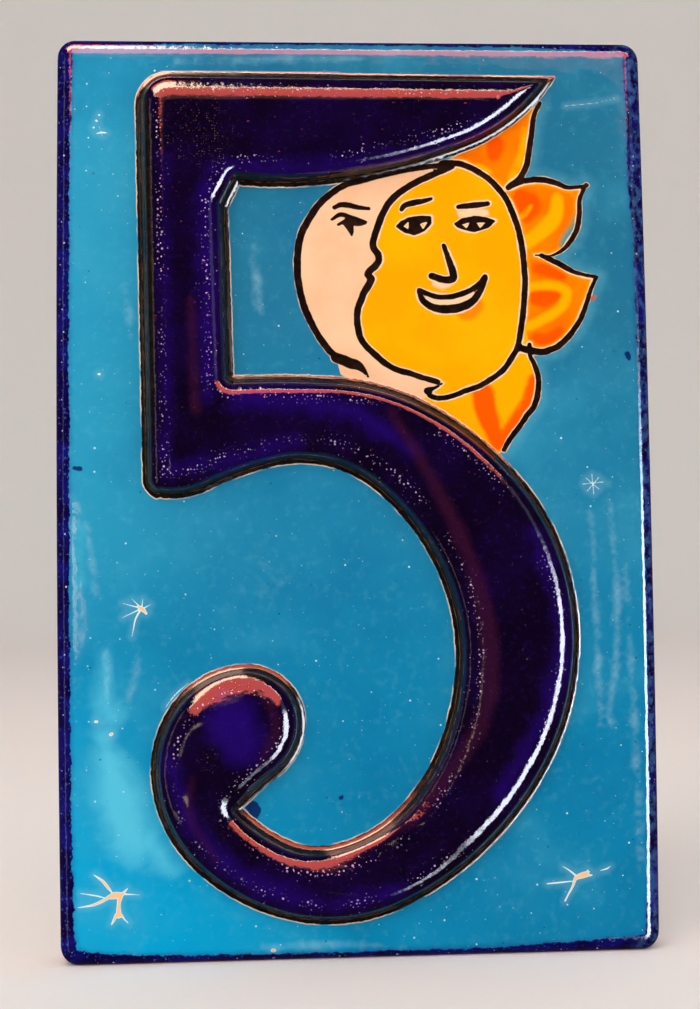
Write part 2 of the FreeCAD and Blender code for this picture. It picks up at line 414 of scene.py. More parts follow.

# %% [markdown]
# Where the glaze drew back in the kiln it left small stars of bare cream, with cracks for arms. A few
# hair-fine scratches are drawn with them. Drops of other colours fell on the ground. The milky runs and
# patches are partly tin in the glaze and partly painted reflections of the light.

# %% Draw the crawled stars
STARS = [
    stroke([(-44.94, -70.90), (-43.84, -70.59), (-42.65, -70.48)], 0.3, 0.6, 0.45),
    stroke([(-42.85, -70.77), (-43.06, -72.16), (-43.07, -74.03)], 0.5, 0.3, 0.5),
    stroke([(-44.24, -70.00), (-45.02, -69.02), (-45.91, -67.95), (-47.39, -66.88)], 0.1, 0.32, 0.04),
    stroke([(-45.33, -71.00), (-47.02, -70.53), (-49.79, -70.07)], 0.07, 0.1, 0.04),
    stroke([(-44.94, -71.00), (-46.63, -71.81), (-47.92, -72.22), (-50.20, -72.54)], 0.25, 0.24, 0.04),
    stroke([(-43.47, -73.94), (-43.97, -74.93), (-44.37, -75.63)], 0.3, 0.2, 0.06),
    stroke([(-42.67, -73.93), (-41.98, -74.81), (-41.39, -75.40)], 0.22, 0.08, 0.05),
    stroke([(-42.06, -70.37), (-40.77, -70.45), (-39.48, -70.54)], 0.14, 0.07, 0.03),
    stroke([(-42.45, -70.37), (-41.46, -69.37)], 0.3, 0.12, 0.04),
    stroke([(38.00, -69.59), (38.99, -69.18), (40.0, -69.0)], 0.32, 0.5, 0.45),
    stroke([(39.6, -69.1), (41.0, -69.15)], 0.45, 0.4, 0.08),
    stroke([(39.5, -68.9), (40.5, -68.5)], 0.4, 0.35, 0.1),
    stroke([(38.00, -69.09), (36.82, -68.12), (35.74, -67.45)], 0.14, 0.09, 0.04),
    stroke([(37.61, -70.08), (34.84, -70.31), (32.87, -70.44)], 0.06, 0.12, 0.08),
    stroke([(37.90, -69.78), (37.41, -71.07), (36.61, -72.46), (36.02, -73.55)], 0.28, 0.13, 0.12),
    stroke([(39.88, -68.87), (40.28, -68.18)], 0.25, 0.15, 0.06),
    stroke([(42.55, -68.35), (43.73, -68.04), (44.33, -67.64)], 0.05, 0.1, 0.03),
    stroke([(-39.3, -20.1), (-38.6, -20.5), (-37.9, -21.3)], 0.26, 0.38, 0.18),
    stroke([(-38.9, -20.6), (-39.8, -22.2), (-40.2, -24.0), (-40.5, -25.4)], 0.16, 0.08, 0.02),
    stroke([(-39.0, -20.3), (-42.1, -19.4)], 0.1, 0.06, 0.02),
    stroke([(-39.0, -20.5), (-42.2, -22.0)], 0.1, 0.05, 0.02),
    stroke([(-38.9, -20.2), (-40.4, -18.7)], 0.1, 0.06, 0.02),
    stroke([(-38.7, -20.3), (-38.5, -18.6)], 0.1, 0.05, 0.02),
    stroke([(-38.5, -20.4), (-37.1, -19.7)], 0.1, 0.06, 0.02),
    stroke([(-45.8, 68.5), (-45.7, 68.5)], 0.13),
    stroke([(-46.3, 67.5), (-46.2, 67.4)], 0.16),
    stroke([(-46.8, 66.2), (-46.7, 66.2)], 0.12),
    stroke([(40.91, 0.95), (44.65, 1.29)], 0.04, 0.1, 0.04),
    stroke([(42.59, 2.73), (42.88, -0.89)], 0.04, 0.1, 0.04),
    stroke([(41.50, 2.04), (43.86, 0.01)], 0.04, 0.1, 0.04),
    stroke([(41.70, -0.31), (43.87, 2.16)], 0.04, 0.1, 0.04),
    stroke([(-46.3, 65.1), (-45.3, 65.3), (-44.3, 65.2)], 0.03, 0.13, 0.03),
    stroke([(-45.8, 66.5), (-45.2, 64.6)], 0.01, 0.05, 0.01),
    stroke([(39.2, 70.6), (45.3, 71.2)], 0.02, 0.03, 0.02),
    stroke([(45.7, 71.4), (48.7, 72.0)], 0.0, 0.02, 0.0),
    # The four round dots are bubbles in the glaze, painted pale as the glints of light they catch.
    stroke([(-16.2, -80.9), (-15.9, -80.9)], 0.3),
    stroke([(-46.95, -40.2), (-46.7, -40.2)], 0.22),
    stroke([(-44.3, -42.5), (-44.1, -42.4)], 0.26),
    stroke([(-46.1, 21.5), (-45.9, 21.5)], 0.16),
    # A thin pale line at the foot of the ball's upper left is a painted glint.
    stroke([(-34.7, -38.0), (-33.0, -35.8), (-30.6, -33.7)], 0.02, 0.08, 0.02),
]
BLUE_DROPS = [
    stroke([(49.6, 24.7), (49.9, 24.0)], 0.42, 0.5, 0.3),
    stroke([(-20.3, -54.9), (-19.2, -56.2), (-19.6, -57.8)], 0.7, 1.15, 0.8),
    stroke([(-3.8, -54.3), (-3.6, -54.3)], 0.28),
    stroke([(-50.4, 4.8), (-49.5, 4.6)], 0.35, 0.5, 0.3),
]
ORANGE_DROPS = [stroke([(43.5, 34.9), (44.0, 35.2)], 0.45, 0.5, 0.3)]
# Partly tin in the glaze, partly painted reflections: pale runs and patches where light shows on the glaze.
MILK_AND_SHEEN_RUNS = [
    stroke([(-48.1, -4.6), (-46.8, -18.8)], 0.2, 0.7, 0.2),
    stroke([(-45.4, -27.6), (-44.9, -31.5), (-45.2, -35.9)], 0.1, 0.5, 0.2),
    stroke([(-51.3, -1.0), (-50.9, -11.6)], 0.3, 0.9, 0.3),
    stroke([(-52.6, 29.5), (-51.9, 8.0)], 0.1, 0.6, 0.3),
    stroke([(-41.3, 37.6), (-40.5, 28.5)], 0.1, 0.5, 0.2),
    stroke([(-18.0, -80.4), (-6.1, -80.1), (6.3, -80.8)], 0.2, 0.45, 0.2),
    stroke([(-18.4, 44.3), (-17.8, 38.6), (-17.2, 32.6)], 0.0, 0.6, 0.2),
    stroke([(-39.4, -27.6), (-39.6, -31.0), (-41.0, -36.5)], 0.1, 0.4, 0.2),
    stroke([(48.3, -14.0), (49.2, -38.0), (49.9, -58.0), (49.9, -68.0)], 0.05, 0.4, 0.1),
    stroke([(42.3, -4.0), (42.6, -18.0), (42.9, -30.0), (43.2, -42.5)], 0.05, 0.3, 0.2),
    stroke([(45.4, 2.0), (46.4, -13.0), (46.8, -22.0), (45.9, -33.0), (44.6, -43.0)], 0.05, 0.6, 0.3),
    stroke([(-32.0, 78.2), (-20.3, 78.9), (-9.4, 79.0), (3.0, 79.2)], 0.2, 0.7, 0.1),
]
MILK_AND_SHEEN_PATCHES = [
    stroke([(-45.5, -29.0), (-44.6, -38.9)], 0.2, 0.6, 1.4),
    stroke([(-45.6, -43.4), (-43.2, -53.0), (-40.2, -61.0)], 1.2, 4.4, 3.4),
    stroke([(-38.0, -61.0), (-34.0, -66.0)], 2.6, 1.2, 0.4),
    stroke([(-50.0, -6.0), (-49.5, -16.0)], 0.2, 1.2, 0.4),
]
print("star arms and scratches:", len(STARS), "milky runs:", len(MILK_AND_SHEEN_RUNS) + len(MILK_AND_SHEEN_PATCHES))

# %% [markdown]
# The numeral is cobalt over the same clay. It is almost black where it lies thick, violet on the shoulders,
# partly where it ran thin and partly painted light, and brown along a low crest, a painted reflection.

# %% Lay the washes of the numeral
# Violet washes on the shoulders and the ball: partly thin cobalt, partly painted light.
THIN_AND_LIT_COBALT = [
    stroke([(-26.4, 54.1), (-26.3, 35.8), (-26.5, 17.6)], 1.3, 1.5, 1.2),
    stroke([(-24.9, 57.7), (-4.4, 58.1), (13.6, 61.1), (28.2, 67.0)], 1.3, 1.5, 0.6),
    stroke([(-22.8, -40.3), (-21.5, -43.1)], 4.6),
    stroke([(-22.3, 16.5), (-10.3, 16.1), (0.3, 13.4), (9.1, 7.0)], 1.6, 2.2, 1.0),
    stroke([(31.4, -8.3), (35.4, -21.7), (34.4, -35.8), (24.0, -54.0)], 0.8, 1.4, 0.8),
    stroke([(-33.7, -46.7), (-30.3, -57.4), (-20.0, -68.0), (-6.1, -72.3), (6.1, -70.0)], 1.0, 1.6, 0.8),
    stroke([(-34.2, 3.5), (-24.5, 5.2), (-11.3, 8.6)], 0.8, 1.4, 1.0),
    stroke([(-33.9, 60.0), (-33.8, 37.6), (-34.0, 5.7)], 0.1, 0.2, 0.2),
]
# Painted reflection: a brown band along the numeral's low crest.
BROWN_CREST_REFLECTION = [
    stroke([
        (6.0, 13.8), (13.0, 1.7), (19.5, -12.6), (22.8, -27.7), (20.7, -41.7), (9.9, -56.3), (-3.4, -65.0),
    ], 0.6, 1.5, 0.7),
    stroke([(-29.4, 34.0), (-28.8, 14.5)], 0.4, 1.0, 0.6),
    stroke([(-29.9, -50.2), (-30.3, -56.2), (-26.0, -64.1)], 0.2, 0.45, 0.2),
    stroke([(-17.6, -34.9), (-15.2, -41.0), (-17.7, -47.0)], 0.2, 0.6, 0.2),
]
print("washes:", len(THIN_AND_LIT_COBALT) + len(BROWN_CREST_REFLECTION))

# %% [markdown]
# ## The plan of the mesh
# The relief is steep at the numeral's foot and flat elsewhere, so the points of the mesh are laid
# in rings along the numeral's outline and along the tile's edge, and in plain nets between them.
# The slab's outline is laid first: long sides that swell a little, and rounded corners.

# %% Lay out the slab's edge
TILE_WIDTH, TILE_HEIGHT, SLAB_THICKNESS = 107.9, 165.9, 11
CORNER_RADIUS, SIDE_BOW = 3.2, 0.5
EDGE_STEP = 0.6


def slab_line(step):
    """The slab's outline, clockwise from the top left corner, with the way out at each point."""
    side, top, r = TILE_WIDTH / 2 - SIDE_BOW, TILE_HEIGHT / 2, CORNER_RADIUS
    xs = np.linspace(-side + r, side - r, round(2 * (side - r) / step), endpoint=False)
    zs = np.linspace(top - r, -top + r, round(2 * (top - r) / step), endpoint=False)
    swell = SIDE_BOW * (1 - (zs / top) ** 2)
    turns = np.linspace(0, math.pi / 2, round(r * math.pi / 2 / step * 1.6), endpoint=False)
    arcs = [(side - r, top - r, math.pi / 2), (side - r, r - top, 0), (r - side, r - top, -math.pi / 2),
            (r - side, top - r, math.pi)]
    corners = []
    for x, z, start in arcs:
        angles = start - turns
        corners.append((np.stack([x + r * np.cos(angles), z + r * np.sin(angles)], 1), angles))
    top_run = (np.stack([xs, np.full_like(xs, top)], 1), np.full_like(xs, math.pi / 2))
    right_run = (np.stack([side + swell, zs], 1), np.zeros_like(zs))
    low_run = (-top_run[0], top_run[1] - math.pi)
    left_run = (-right_run[0], right_run[1] + math.pi)
    order = [top_run, corners[0], right_run, corners[1], low_run, corners[2], left_run, corners[3]]
    line = np.concatenate([points for points, angles in order])
    angles = np.concatenate([angles for points, angles in order])
    return line, np.stack([np.cos(angles), np.sin(angles)], 1)


edge_line, edge_out = slab_line(EDGE_STEP)
print("slab edge:", len(edge_line), "points")

# %% [markdown]
# Rings follow the numeral's outline at set distances. At a sharp corner the ring outside it needs a
# fan of points. A ring point that ends up nearer to another part of the outline is dropped.

# %% Lay rings along the numeral
RINGS_OUTSIDE = [0.1, 0.25, 0.42, 0.62, 0.9, 1.3, 1.8]
RINGS_INSIDE = [0.2, 0.4, 0.6, 0.8, 0.95, 1.08, 1.2, 1.32, 1.5, 1.75, 2.05, 2.4, 2.8, 3.25, 3.75, 4.3, 4.9]
SHARP = math.radians(12)
NEAREST = 0.07
RING_SLACK = 0.02


def ring(offset):
    """Points at a distance from the numeral's outline, outside it where offset is negative."""
    way_in = np.roll(np.unwrap(way_out), 1)
    points = []
    for place, before, after in zip(numeral_line, way_in, way_out):
        turn = (after - before + math.pi) % (2 * math.pi) - math.pi
        if abs(turn) < SHARP:
            ways = [before + turn / 2]
            reach = offset
        elif (turn < 0) == (offset < 0):
            ways = [before + turn * share for share in np.linspace(0, 1, max(3, int(abs(turn) * 6)))]
            reach = offset
        else:
            ways = [before + turn / 2]
            reach = offset / math.cos(turn / 2)
        for way in ways:
            points.append(place + reach * np.array([math.sin(way), -math.cos(way)]))
    points = np.array(points)
    gap = distance_to(points, numeral_line)[0]
    return points[gap > abs(offset) - RING_SLACK]


def net(spacing, low, high):
    """A net of points at the corners of equal triangles."""
    rows = np.arange(low[1], high[1], spacing * math.sqrt(3) / 2)
    columns = np.arange(low[0], high[0], spacing)
    x, z = np.meshgrid(columns, rows)
    x = x + (np.arange(len(rows)) % 2)[:, None] * spacing / 2
    return np.stack([x.ravel(), z.ravel()], 1)


def signed_from_numeral(points):
    gap = distance_to(points, numeral_line)[0]
    return np.where(inside(points, numeral_line), gap, -gap)


rings = [numeral_line] + [ring(-d) for d in RINGS_OUTSIDE] + [ring(d) for d in RINGS_INSIDE]
print("ring points:", sum(len(r) for r in rings))

# %% [markdown]
# The nets are fine along the brushwork and the star cracks, where colours meet, and coarse elsewhere.

# %% Lay the nets between the rings
EDGE_INSETS = [0.05, 0.18, 0.38, 0.65, 1.0, 1.4, 1.9, 2.5, 3.1]
NUMERAL_NET, GROUND_NET, BRUSH_NET, STAR_NET = 0.72, 0.95, 0.36, 0.17
NET_GAP, EDGE_GAP = 0.35, 0.45
BRUSH_BAND, STAR_BAND = 0.75, 0.35


def from_strokes(points, group):
    """Distance to the nearest edge of the strokes, negative in the paint."""
    best = np.full(len(points), 99.0)
    for line in group:
        margin = 4 + line[:, 2].max()
        low, high = line[:, :2].min(0) - margin, line[:, :2].max(0) + margin
        close = ((points > low) & (points < high)).all(1)
        if close.any():
            gap, near, share = distance_to(points[close], line[:, :2], closed=False)
            half = line[near, 2] * (1 - share) + line[np.minimum(near + 1, len(line) - 1), 2] * share
            best[close] = np.minimum(best[close], gap - half)
    return best


def closely(shape, step=0.3):
    """A closed shape with points added along its straight sides."""
    shape = np.asarray(shape, float)
    sides = []
    for start, end in zip(shape, np.roll(shape, -1, 0)):
        count = max(1, int(math.hypot(*(end - start)) / step))
        sides.append(start + (end - start) * (np.arange(count) / count)[:, None])
    return np.concatenate(sides)


def from_shape(points, shape):
    """Distance to a closed shape's edge, negative inside it."""
    line = closely(shape)
    gap = distance_to(points, line)[0]
    return np.where(inside(points, line), -gap, gap)


def from_edge(points):
    gap = distance_to(points, edge_line)[0]
    return np.where(inside(points, edge_line), gap, -gap)


# %% [markdown]
# Each net is cut back to where no ring or finer net does its work.

# %% Cut the nets to their places
half = np.array([TILE_WIDTH / 2, TILE_HEIGHT / 2])
inner_net = net(NUMERAL_NET, -half, half)
inner_net = inner_net[signed_from_numeral(inner_net) > RINGS_INSIDE[-1] + NET_GAP]
insets = [edge_line] + [edge_line - edge_out * inset for inset in EDGE_INSETS]
ground_net = net(GROUND_NET, -half, half)
off_relief = signed_from_numeral(ground_net) < -RINGS_OUTSIDE[-1] - NET_GAP
off_edge = from_edge(ground_net) > EDGE_INSETS[-1] + EDGE_GAP
ground_net = ground_net[off_relief & off_edge]
brush_net = net(BRUSH_NET, (-13, 3), (47, 75))
brush_gap = from_strokes(brush_net, strokes)
for shape in DARK_ALMONDS + [MOUTH]:
    brush_gap = np.minimum(brush_gap, from_shape(brush_net, shape))
brush_net = brush_net[(brush_gap < BRUSH_BAND) & (signed_from_numeral(brush_net) < -0.3)]
marks = STARS + BLUE_DROPS + ORANGE_DROPS
star_net = net(STAR_NET, -half, half)
star_net = star_net[from_strokes(star_net, marks) < STAR_BAND]
star_net = star_net[signed_from_numeral(star_net) < -0.1]
print("nets:", len(inner_net), len(ground_net), len(brush_net), len(star_net))

# %% [markdown]
# Points that fall too close to another are dropped: a fine point wins over a coarse one. Then the
# flat plan is triangulated inside the slab's outline.

# %% Triangulate the plan
def thinned(layers, gaps):
    """All layers in one, where a point near to one of an earlier layer is dropped."""
    kept = layers[0]
    for layer, gap in zip(layers[1:], gaps[1:]):
        tree = kdtree.KDTree(len(kept))
        for i, (x, z) in enumerate(kept):
            tree.insert((x, z, 0), i)
        tree.balance()
        clear = [tree.find((x, z, 0))[2] > gap for x, z in layer]
        kept = np.concatenate([kept, layer[clear]])
    return kept


layers = [edge_line, numeral_line] + insets[1:] + rings[1:] + [star_net, brush_net, inner_net, ground_net]
gaps = [0.001, 0.03] + [0.03] * len(insets[1:]) + [NEAREST] * len(rings[1:]) + [0.1, 0.2, 0.5, 0.6]
plan_points = thinned(layers, gaps)
outer_loop = list(range(len(edge_line)))
laid = delaunay_2d_cdt([Vector(p) for p in plan_points], [], [outer_loop], 1, 1e-5)
plan = np.array([tuple(p) for p in laid[0]])
triangles = np.array([f for f in laid[2]])
print("plan:", len(plan), "points,", len(triangles), "triangles")

# %% [markdown]
# The top of the numeral is crowned, as clay is when it shrinks off its mould. A film blown up over the
# numeral's outline has that shape: it is highest where the numeral is widest, with no crease. The
# film is settled on a square grid, half the squares at a time, until each square is level with the
# middle of its neighbours, plus a little for the blowing.

# %% Blow a film over the numeral
CELL = 0.5
SWEEPS, HASTE = 420, 1.96
film_low = np.array([-HALF_WIDTH - 2, -HALF_HEIGHT - 2])
film_x = np.arange(film_low[0], HALF_WIDTH + 2, CELL)
film_z = np.arange(film_low[1], HALF_HEIGHT + 2, CELL)
grid_x, grid_z = np.meshgrid(film_x, film_z)
held = ~inside(np.stack([grid_x.ravel(), grid_z.ravel()], 1), numeral_line).reshape(grid_x.shape)
film = np.zeros(grid_x.shape)
checks = (np.add.outer(np.arange(len(film_z)), np.arange(len(film_x))) % 2).astype(bool)
for sweep in range(SWEEPS):
    for squares in (checks & ~held, ~checks & ~held):
        beside = np.roll(film, 1, 0) + np.roll(film, -1, 0) + np.roll(film, 1, 1) + np.roll(film, -1, 1)
        level = (beside + CELL**2) / 4
        film = np.where(squares, film + HASTE * (level - film), film)
film = np.sqrt(np.maximum(2 * film, 0))


def swell_at(points):
    """The height of the film at each point, from the four squares round it."""
    spot = (points - film_low) / CELL
    column = np.clip(spot[:, 0].astype(int), 0, len(film_x) - 2)
    row = np.clip(spot[:, 1].astype(int), 0, len(film_z) - 2)
    u, v = np.clip(spot[:, 0] - column, 0, 1), np.clip(spot[:, 1] - row, 0, 1)
    low = film[row, column] * (1 - u) + film[row, column + 1] * u
    high = film[row + 1, column] * (1 - u) + film[row + 1, column + 1] * u
    return low * (1 - v) + high * v


print("film rises to", round(film.max(), 2), "mm")

# %% [markdown]
# ## What each point knows
# Every point of the plan is told its distances, in millimetres, under names that the relief and the
# glaze read later: how deep it lies in the numeral, the slab, the paint and each field of colour.

# %% Spread a width along a line
def widths_along(points, line, places):
    """A width given at places near a closed line, spread evenly along it to every point."""
    steps = np.hypot(*(np.roll(line, -1, 0) - line).T)
    lengths = np.concatenate([[0], np.cumsum(steps)])
    stations = distance_to(np.array([place[:2] for place in places], float), line)[1]
    order = np.argsort(stations)
    knots = lengths[stations][order]
    values = np.array([place[2] for place in places])[order]
    knots = np.concatenate([[knots[-1] - lengths[-1]], knots, [knots[0] + lengths[-1]]])
    values = np.concatenate([values[-1:], values, values[:1]])
    gap, near, share = distance_to(points, line)
    return np.interp(lengths[near] + steps[near] * share, knots, values)


# %% [markdown]
# The rim, the line round the foot and the shoulder are wider in some places than in others. Each row
# is a place near the line and the width there. The shoulder's rows are shares of its full reach.

# %% List the widths round the tile
RIM_WIDTHS = [
    (-53, 80, 2.9), (-45, 84, 1.5), (-30, 84, 1.0), (0, 84, 0.9), (30, 84, 1.1), (48, 84, 2.0),
    (53, 81, 3.5),
    (54, 70, 3.2), (54, 57, 3.1), (54, 44, 2.5), (54, 25, 2.4), (54, 0, 2.0), (54, -40, 2.0),
    (54, -70, 2.3),
    (52, -82, 3.2), (40, -84, 2.2), (20, -84, 1.4), (0, -84, 1.3), (-20, -84, 1.4),
    (-40, -84, 1.8), (-51, -82, 3.0),
    (-54, -65, 2.5), (-54, -30, 2.4), (-54, 10, 2.6), (-54, 40, 2.5), (-54, 62, 2.6),
]
LINE_WIDTHS = [
    (-39.8, 72, 2.2), (-39.4, 50, 2.7), (-39.2, 25, 2.6), (-38.9, 6, 1.8), (-35, 1, 1.1), (-20, 5, 1.0),
    (5, 0, 1.1), (14.9, -25, 1.2), (10, -50, 1.3), (-5, -64, 1.2), (-21, -57, 1.5), (-11, -45, 1.2),
    (-14, -36, 1.5), (-17, -32.5, 2.1), (-20, -31.6, 2.0), (-22, -31.4, 1.0), (-34, -40, 1.4),
    (-38, -52, 1.5),
    (-30, -70, 1.5), (-10, -77, 1.6), (26, -61, 1.2), (38.4, -40, 1.1), (30, 2, 1.0),
    (12, 16.5, 0.9), (-10, 22, 0.85),
    (-22.6, 21.3, 1.0), (-23, 50, 1.2), (-21, 57, 1.6), (10, 59, 1.1), (30, 68, 1.0),
    (37.7, 77.4, 1.6), (20, 77.6, 0.8),
    (-20, 78, 0.8), (-37, 77, 1.5),
]
LINE_OVERLAP = 0.15
SHOULDER_EASE = [
    (-39, 60, 1.0), (-30, 76, 1.05), (20, 76, 1.0), (36, 75, 0.8), (20, 65, 0.9), (-18, 56, 0.7),
    (-22, 40, 0.75),
    (-20, 21, 0.6), (5, 17, 0.45), (20, 8, 0.5), (34, -15, 0.8), (38, -38, 0.85), (25, -60, 0.9),
    (-10, -76, 0.9),
    (-36, -50, 0.85), (-28, -33, 1.1), (-18, -32, 0.9), (-11, -45, 0.8), (-20, -56, 0.7), (-5, -63, 1.1),
    (12, -48, 1.0), (14, -25, 0.9), (0, -1, 0.7), (-20, 5, 0.8), (-38, 2, 0.9),
]
print("widths:", len(RIM_WIDTHS) + len(LINE_WIDTHS) + len(SHOULDER_EASE))

# %% [markdown]
# The numeral's top leans a little to one side at the ball, the bowl and the nick. Each lean has its
# middle, its reach, the side it falls to, its slope and its depth.

# %% Lean the numeral's top
LEANS = [
    (-22, -36.5, 12, 9, 97, 0.24, 1.5),
    (3, -67.5, 19, 10, 97, 0.26, 1.5),
    (-26.5, -56.5, 7, 7, 0, 0.2, 0.5),
]
lean = np.zeros(len(plan))
for x, z, wide, tall, toward, amount, shift in LEANS:
    share = np.clip(((plan[:, 0] - x) / wide) ** 2 + ((plan[:, 1] - z) / tall) ** 2, 0, 1)
    lean -= amount * ((plan - (x, z)) @ direction(math.radians(toward)) + shift) * (1 - share) ** 2
print("leans:", len(LEANS))

# %% [markdown]
# A depth is cut off where nothing reads it any more. Then every measure gets its name.

# %% Measure every point of the plan
READ_REACH = 9


def depth_in(gap):
    return np.clip(-gap, -READ_REACH, READ_REACH)


numeral_depth = signed_from_numeral(plan)
edge_depth = np.maximum(from_edge(plan), 0)
brush = from_strokes(plan, strokes)
for shape in DARK_ALMONDS:
    brush = np.minimum(brush, from_shape(plan, shape))
for shape in PALE_FLECKS:
    brush = np.maximum(brush, -from_shape(plan, shape))
line_reach = widths_along(plan, numeral_line, LINE_WIDTHS) - numeral_depth
known = {
    "numeral_depth": numeral_depth,
    "swell": swell_at(plan),
    "lean": lean,
    "ease": widths_along(plan, numeral_line, SHOULDER_EASE),
    "edge_depth": edge_depth,
    "rim_cover": widths_along(plan, edge_line, RIM_WIDTHS) - edge_depth,
    "line_cover": np.minimum(line_reach, numeral_depth + LINE_OVERLAP),
    "brush": np.clip(brush, -3, 9),
    "moon": depth_in(from_shape(plan, moon_field)),
    "sun": depth_in(from_shape(plan, sun_field)),
    "petals": depth_in(np.min([from_shape(plan, shape) for shape in petal_fields], 0)),
    "mouth": depth_in(from_shape(plan, MOUTH)),
    "orange": depth_in(from_strokes(plan, ORANGE_STREAKS)),
    "yellow": depth_in(from_strokes(plan, YELLOW_STREAKS)),
    "low_petal": depth_in(from_shape(plan, petal_fields[3])),
    "star": np.clip(from_strokes(plan, STARS), -3, 9),
    "bare_lid": depth_in(from_strokes(plan, BARE_LIDS)),
    "green": depth_in(from_strokes(plan, GREEN_BLEED)),
    "blue_drop": depth_in(from_strokes(plan, BLUE_DROPS)),
    "orange_drop": depth_in(from_strokes(plan, ORANGE_DROPS)),
    "milk_and_sheen": depth_in(from_strokes(plan, MILK_AND_SHEEN_RUNS)),
    "milk_and_sheen_patch": depth_in(from_strokes(plan, MILK_AND_SHEEN_PATCHES)),
    "thin_and_lit_cobalt": depth_in(from_strokes(plan, THIN_AND_LIT_COBALT)),
    "crest_reflection": depth_in(from_strokes(plan, BROWN_CREST_REFLECTION)),
    "on_front": np.ones(len(plan)),
}
print("measures:", len(known), "numeral depth to", round(numeral_depth.max(), 1), "mm")

# %% [markdown]
# ## The blank
# The plan, the upright sides, the bevel at the back and the flat back are sewn into one closed blank.
# The sides start a little below the front, where the rounded edge will end.

# %% Sew the blank
ARRIS_FALL, BACK_BEVEL = 2.2, 0.8
SIDE_LEVELS = [7.6, 6.2, 4.8, 3.6, 2.5, 1.6, BACK_BEVEL]
BACK_NET = 4.5
input_of = {source: i for i, sources in enumerate(laid[3]) for source in sources}
front_rim = np.array([input_of[i] for i in outer_loop])
count = len(plan)
rim_count = len(edge_line)
side_points = [
    np.column_stack([edge_line[:, 0], np.full(rim_count, -level), edge_line[:, 1]])
    for level in SIDE_LEVELS
]
back_line = edge_line - edge_out * BACK_BEVEL
side_points.append(np.column_stack([back_line[:, 0], np.zeros(rim_count), back_line[:, 1]]))
back_net = net(BACK_NET, -half + 4, half - 4)
back_places = [Vector(p) for p in np.concatenate([back_line, back_net])]
back_laid = delaunay_2d_cdt(back_places, [], [list(range(rim_count))], 1, 1e-5)
back_plan = np.array([tuple(p) for p in back_laid[0]])
back_of = {source: i for i, sources in enumerate(back_laid[3]) for source in sources}
front = np.column_stack([plan[:, 0], np.full(count, -float(SLAB_THICKNESS)), plan[:, 1]])
points = np.concatenate([front] + side_points)
loops = [front_rim] + [count + rim_count * k + np.arange(rim_count) for k in range(len(side_points))]
faces = [tuple(f) for f in triangles]
for upper, lower in zip(loops, loops[1:]):
    following_up, following_low = np.roll(upper, -1), np.roll(lower, -1)
    faces += [tuple(q) for q in np.column_stack([upper, following_up, following_low, lower])]
last_row = loops[-1]
extra = [i for i in range(len(back_plan)) if not any(source < rim_count for source in back_laid[3][i])]
place_of = {back_of[i]: last_row[i] for i in range(rim_count)}
place_of.update({i: len(points) + k for k, i in enumerate(extra)})
back_points = np.column_stack([back_plan[extra, 0], np.zeros(len(extra)), back_plan[extra, 1]])
points = np.concatenate([points, back_points])
faces += [tuple(place_of[i] for i in reversed(f)) for f in back_laid[2]]
blank_mesh = bpy.data.meshes.new("tile_blank")
blank_mesh.from_pydata((points * MM).tolist(), [], faces)

# %% [markdown]
# The points of the sides and the back get the measures of a place far from all paint.

# %% Write the measures on the blank
FAR = {
    "edge_depth": 0.0, "numeral_depth": -50.0, "swell": 0.0, "lean": 0.0, "ease": 1.0, "brush": 9.0,
    "star": 9.0, "on_front": 0.0,
}
fall = np.concatenate([np.full(rim_count, SLAB_THICKNESS - ARRIS_FALL - level) for level in SIDE_LEVELS]
                      + [np.full(rim_count + len(extra), 20.0)])
for name, values in known.items():
    rest = np.full(len(points) - count, FAR.get(name, -9.0))
    if name == "edge_depth":
        rest = -fall
    if name == "rim_cover":
        rest = np.concatenate([np.tile(known[name][front_rim], len(side_points)), np.full(len(extra), 0.0)])
    attribute = blank_mesh.attributes.new(name, "FLOAT", "POINT")
    attribute.data.foreach_set("value", np.concatenate([values, rest]).astype(np.float32))
blank = bpy.data.objects.new("glazed_tile", blank_mesh)
bpy.context.scene.collection.objects.link(blank)
print("blank:", len(points), "points,", len(faces), "faces")

# %% [markdown]
# ## Pressing the relief
# The real relief comes from a plaster mould, and its cross-section is the same all the way round: a
# hollow at the foot, a steep wall, a round shoulder and a crowned top. That is a rule, so a
# Geometry Nodes tree makes it: it reads each point's depth in the numeral and sets its height.
# Small helpers write the arithmetic.

# %% Write arithmetic as nodes
def number(tree, kind, *values, clamp=False):
    """One Math node, fed with sockets or plain numbers."""
    node = tree.nodes.new("ShaderNodeMath")
    node.operation = kind
    node.use_clamp = clamp
    for socket, value in zip(node.inputs, values):
        if isinstance(value, (int, float)):
            socket.default_value = value
        else:
            tree.links.new(value, socket)
    return node.outputs[0]


def rising(tree, value, start, reach):
    """0 before start, 1 after start + reach, straight between."""
    return number(tree, "DIVIDE", number(tree, "SUBTRACT", value, start), reach, clamp=True)


def round_over(tree, share):
    """A quarter circle: steep at 0 and level at 1."""
    left = number(tree, "SUBTRACT", 1.0, share)
    return number(tree, "SQRT", number(tree, "SUBTRACT", 1.0, number(tree, "MULTIPLY", left, left)))


def hollow(tree, share):
    """A quarter circle: level at 0 and steep at 1."""
    squared = number(tree, "MULTIPLY", share, share)
    return number(tree, "SUBTRACT", 1.0, number(tree, "SQRT", number(tree, "SUBTRACT", 1.0, squared)))


def ease(tree, share):
    """Smooth at both ends."""
    squared = number(tree, "MULTIPLY", share, share)
    falling = number(tree, "SUBTRACT", 3.0, number(tree, "MULTIPLY", share, 2.0))
    return number(tree, "MULTIPLY", squared, falling)


# %% [markdown]
# The tree has one named input for each size of the mould. A glaze lies thinner where it was brushed
# with line paint and pools between the lines, which the last input gives.

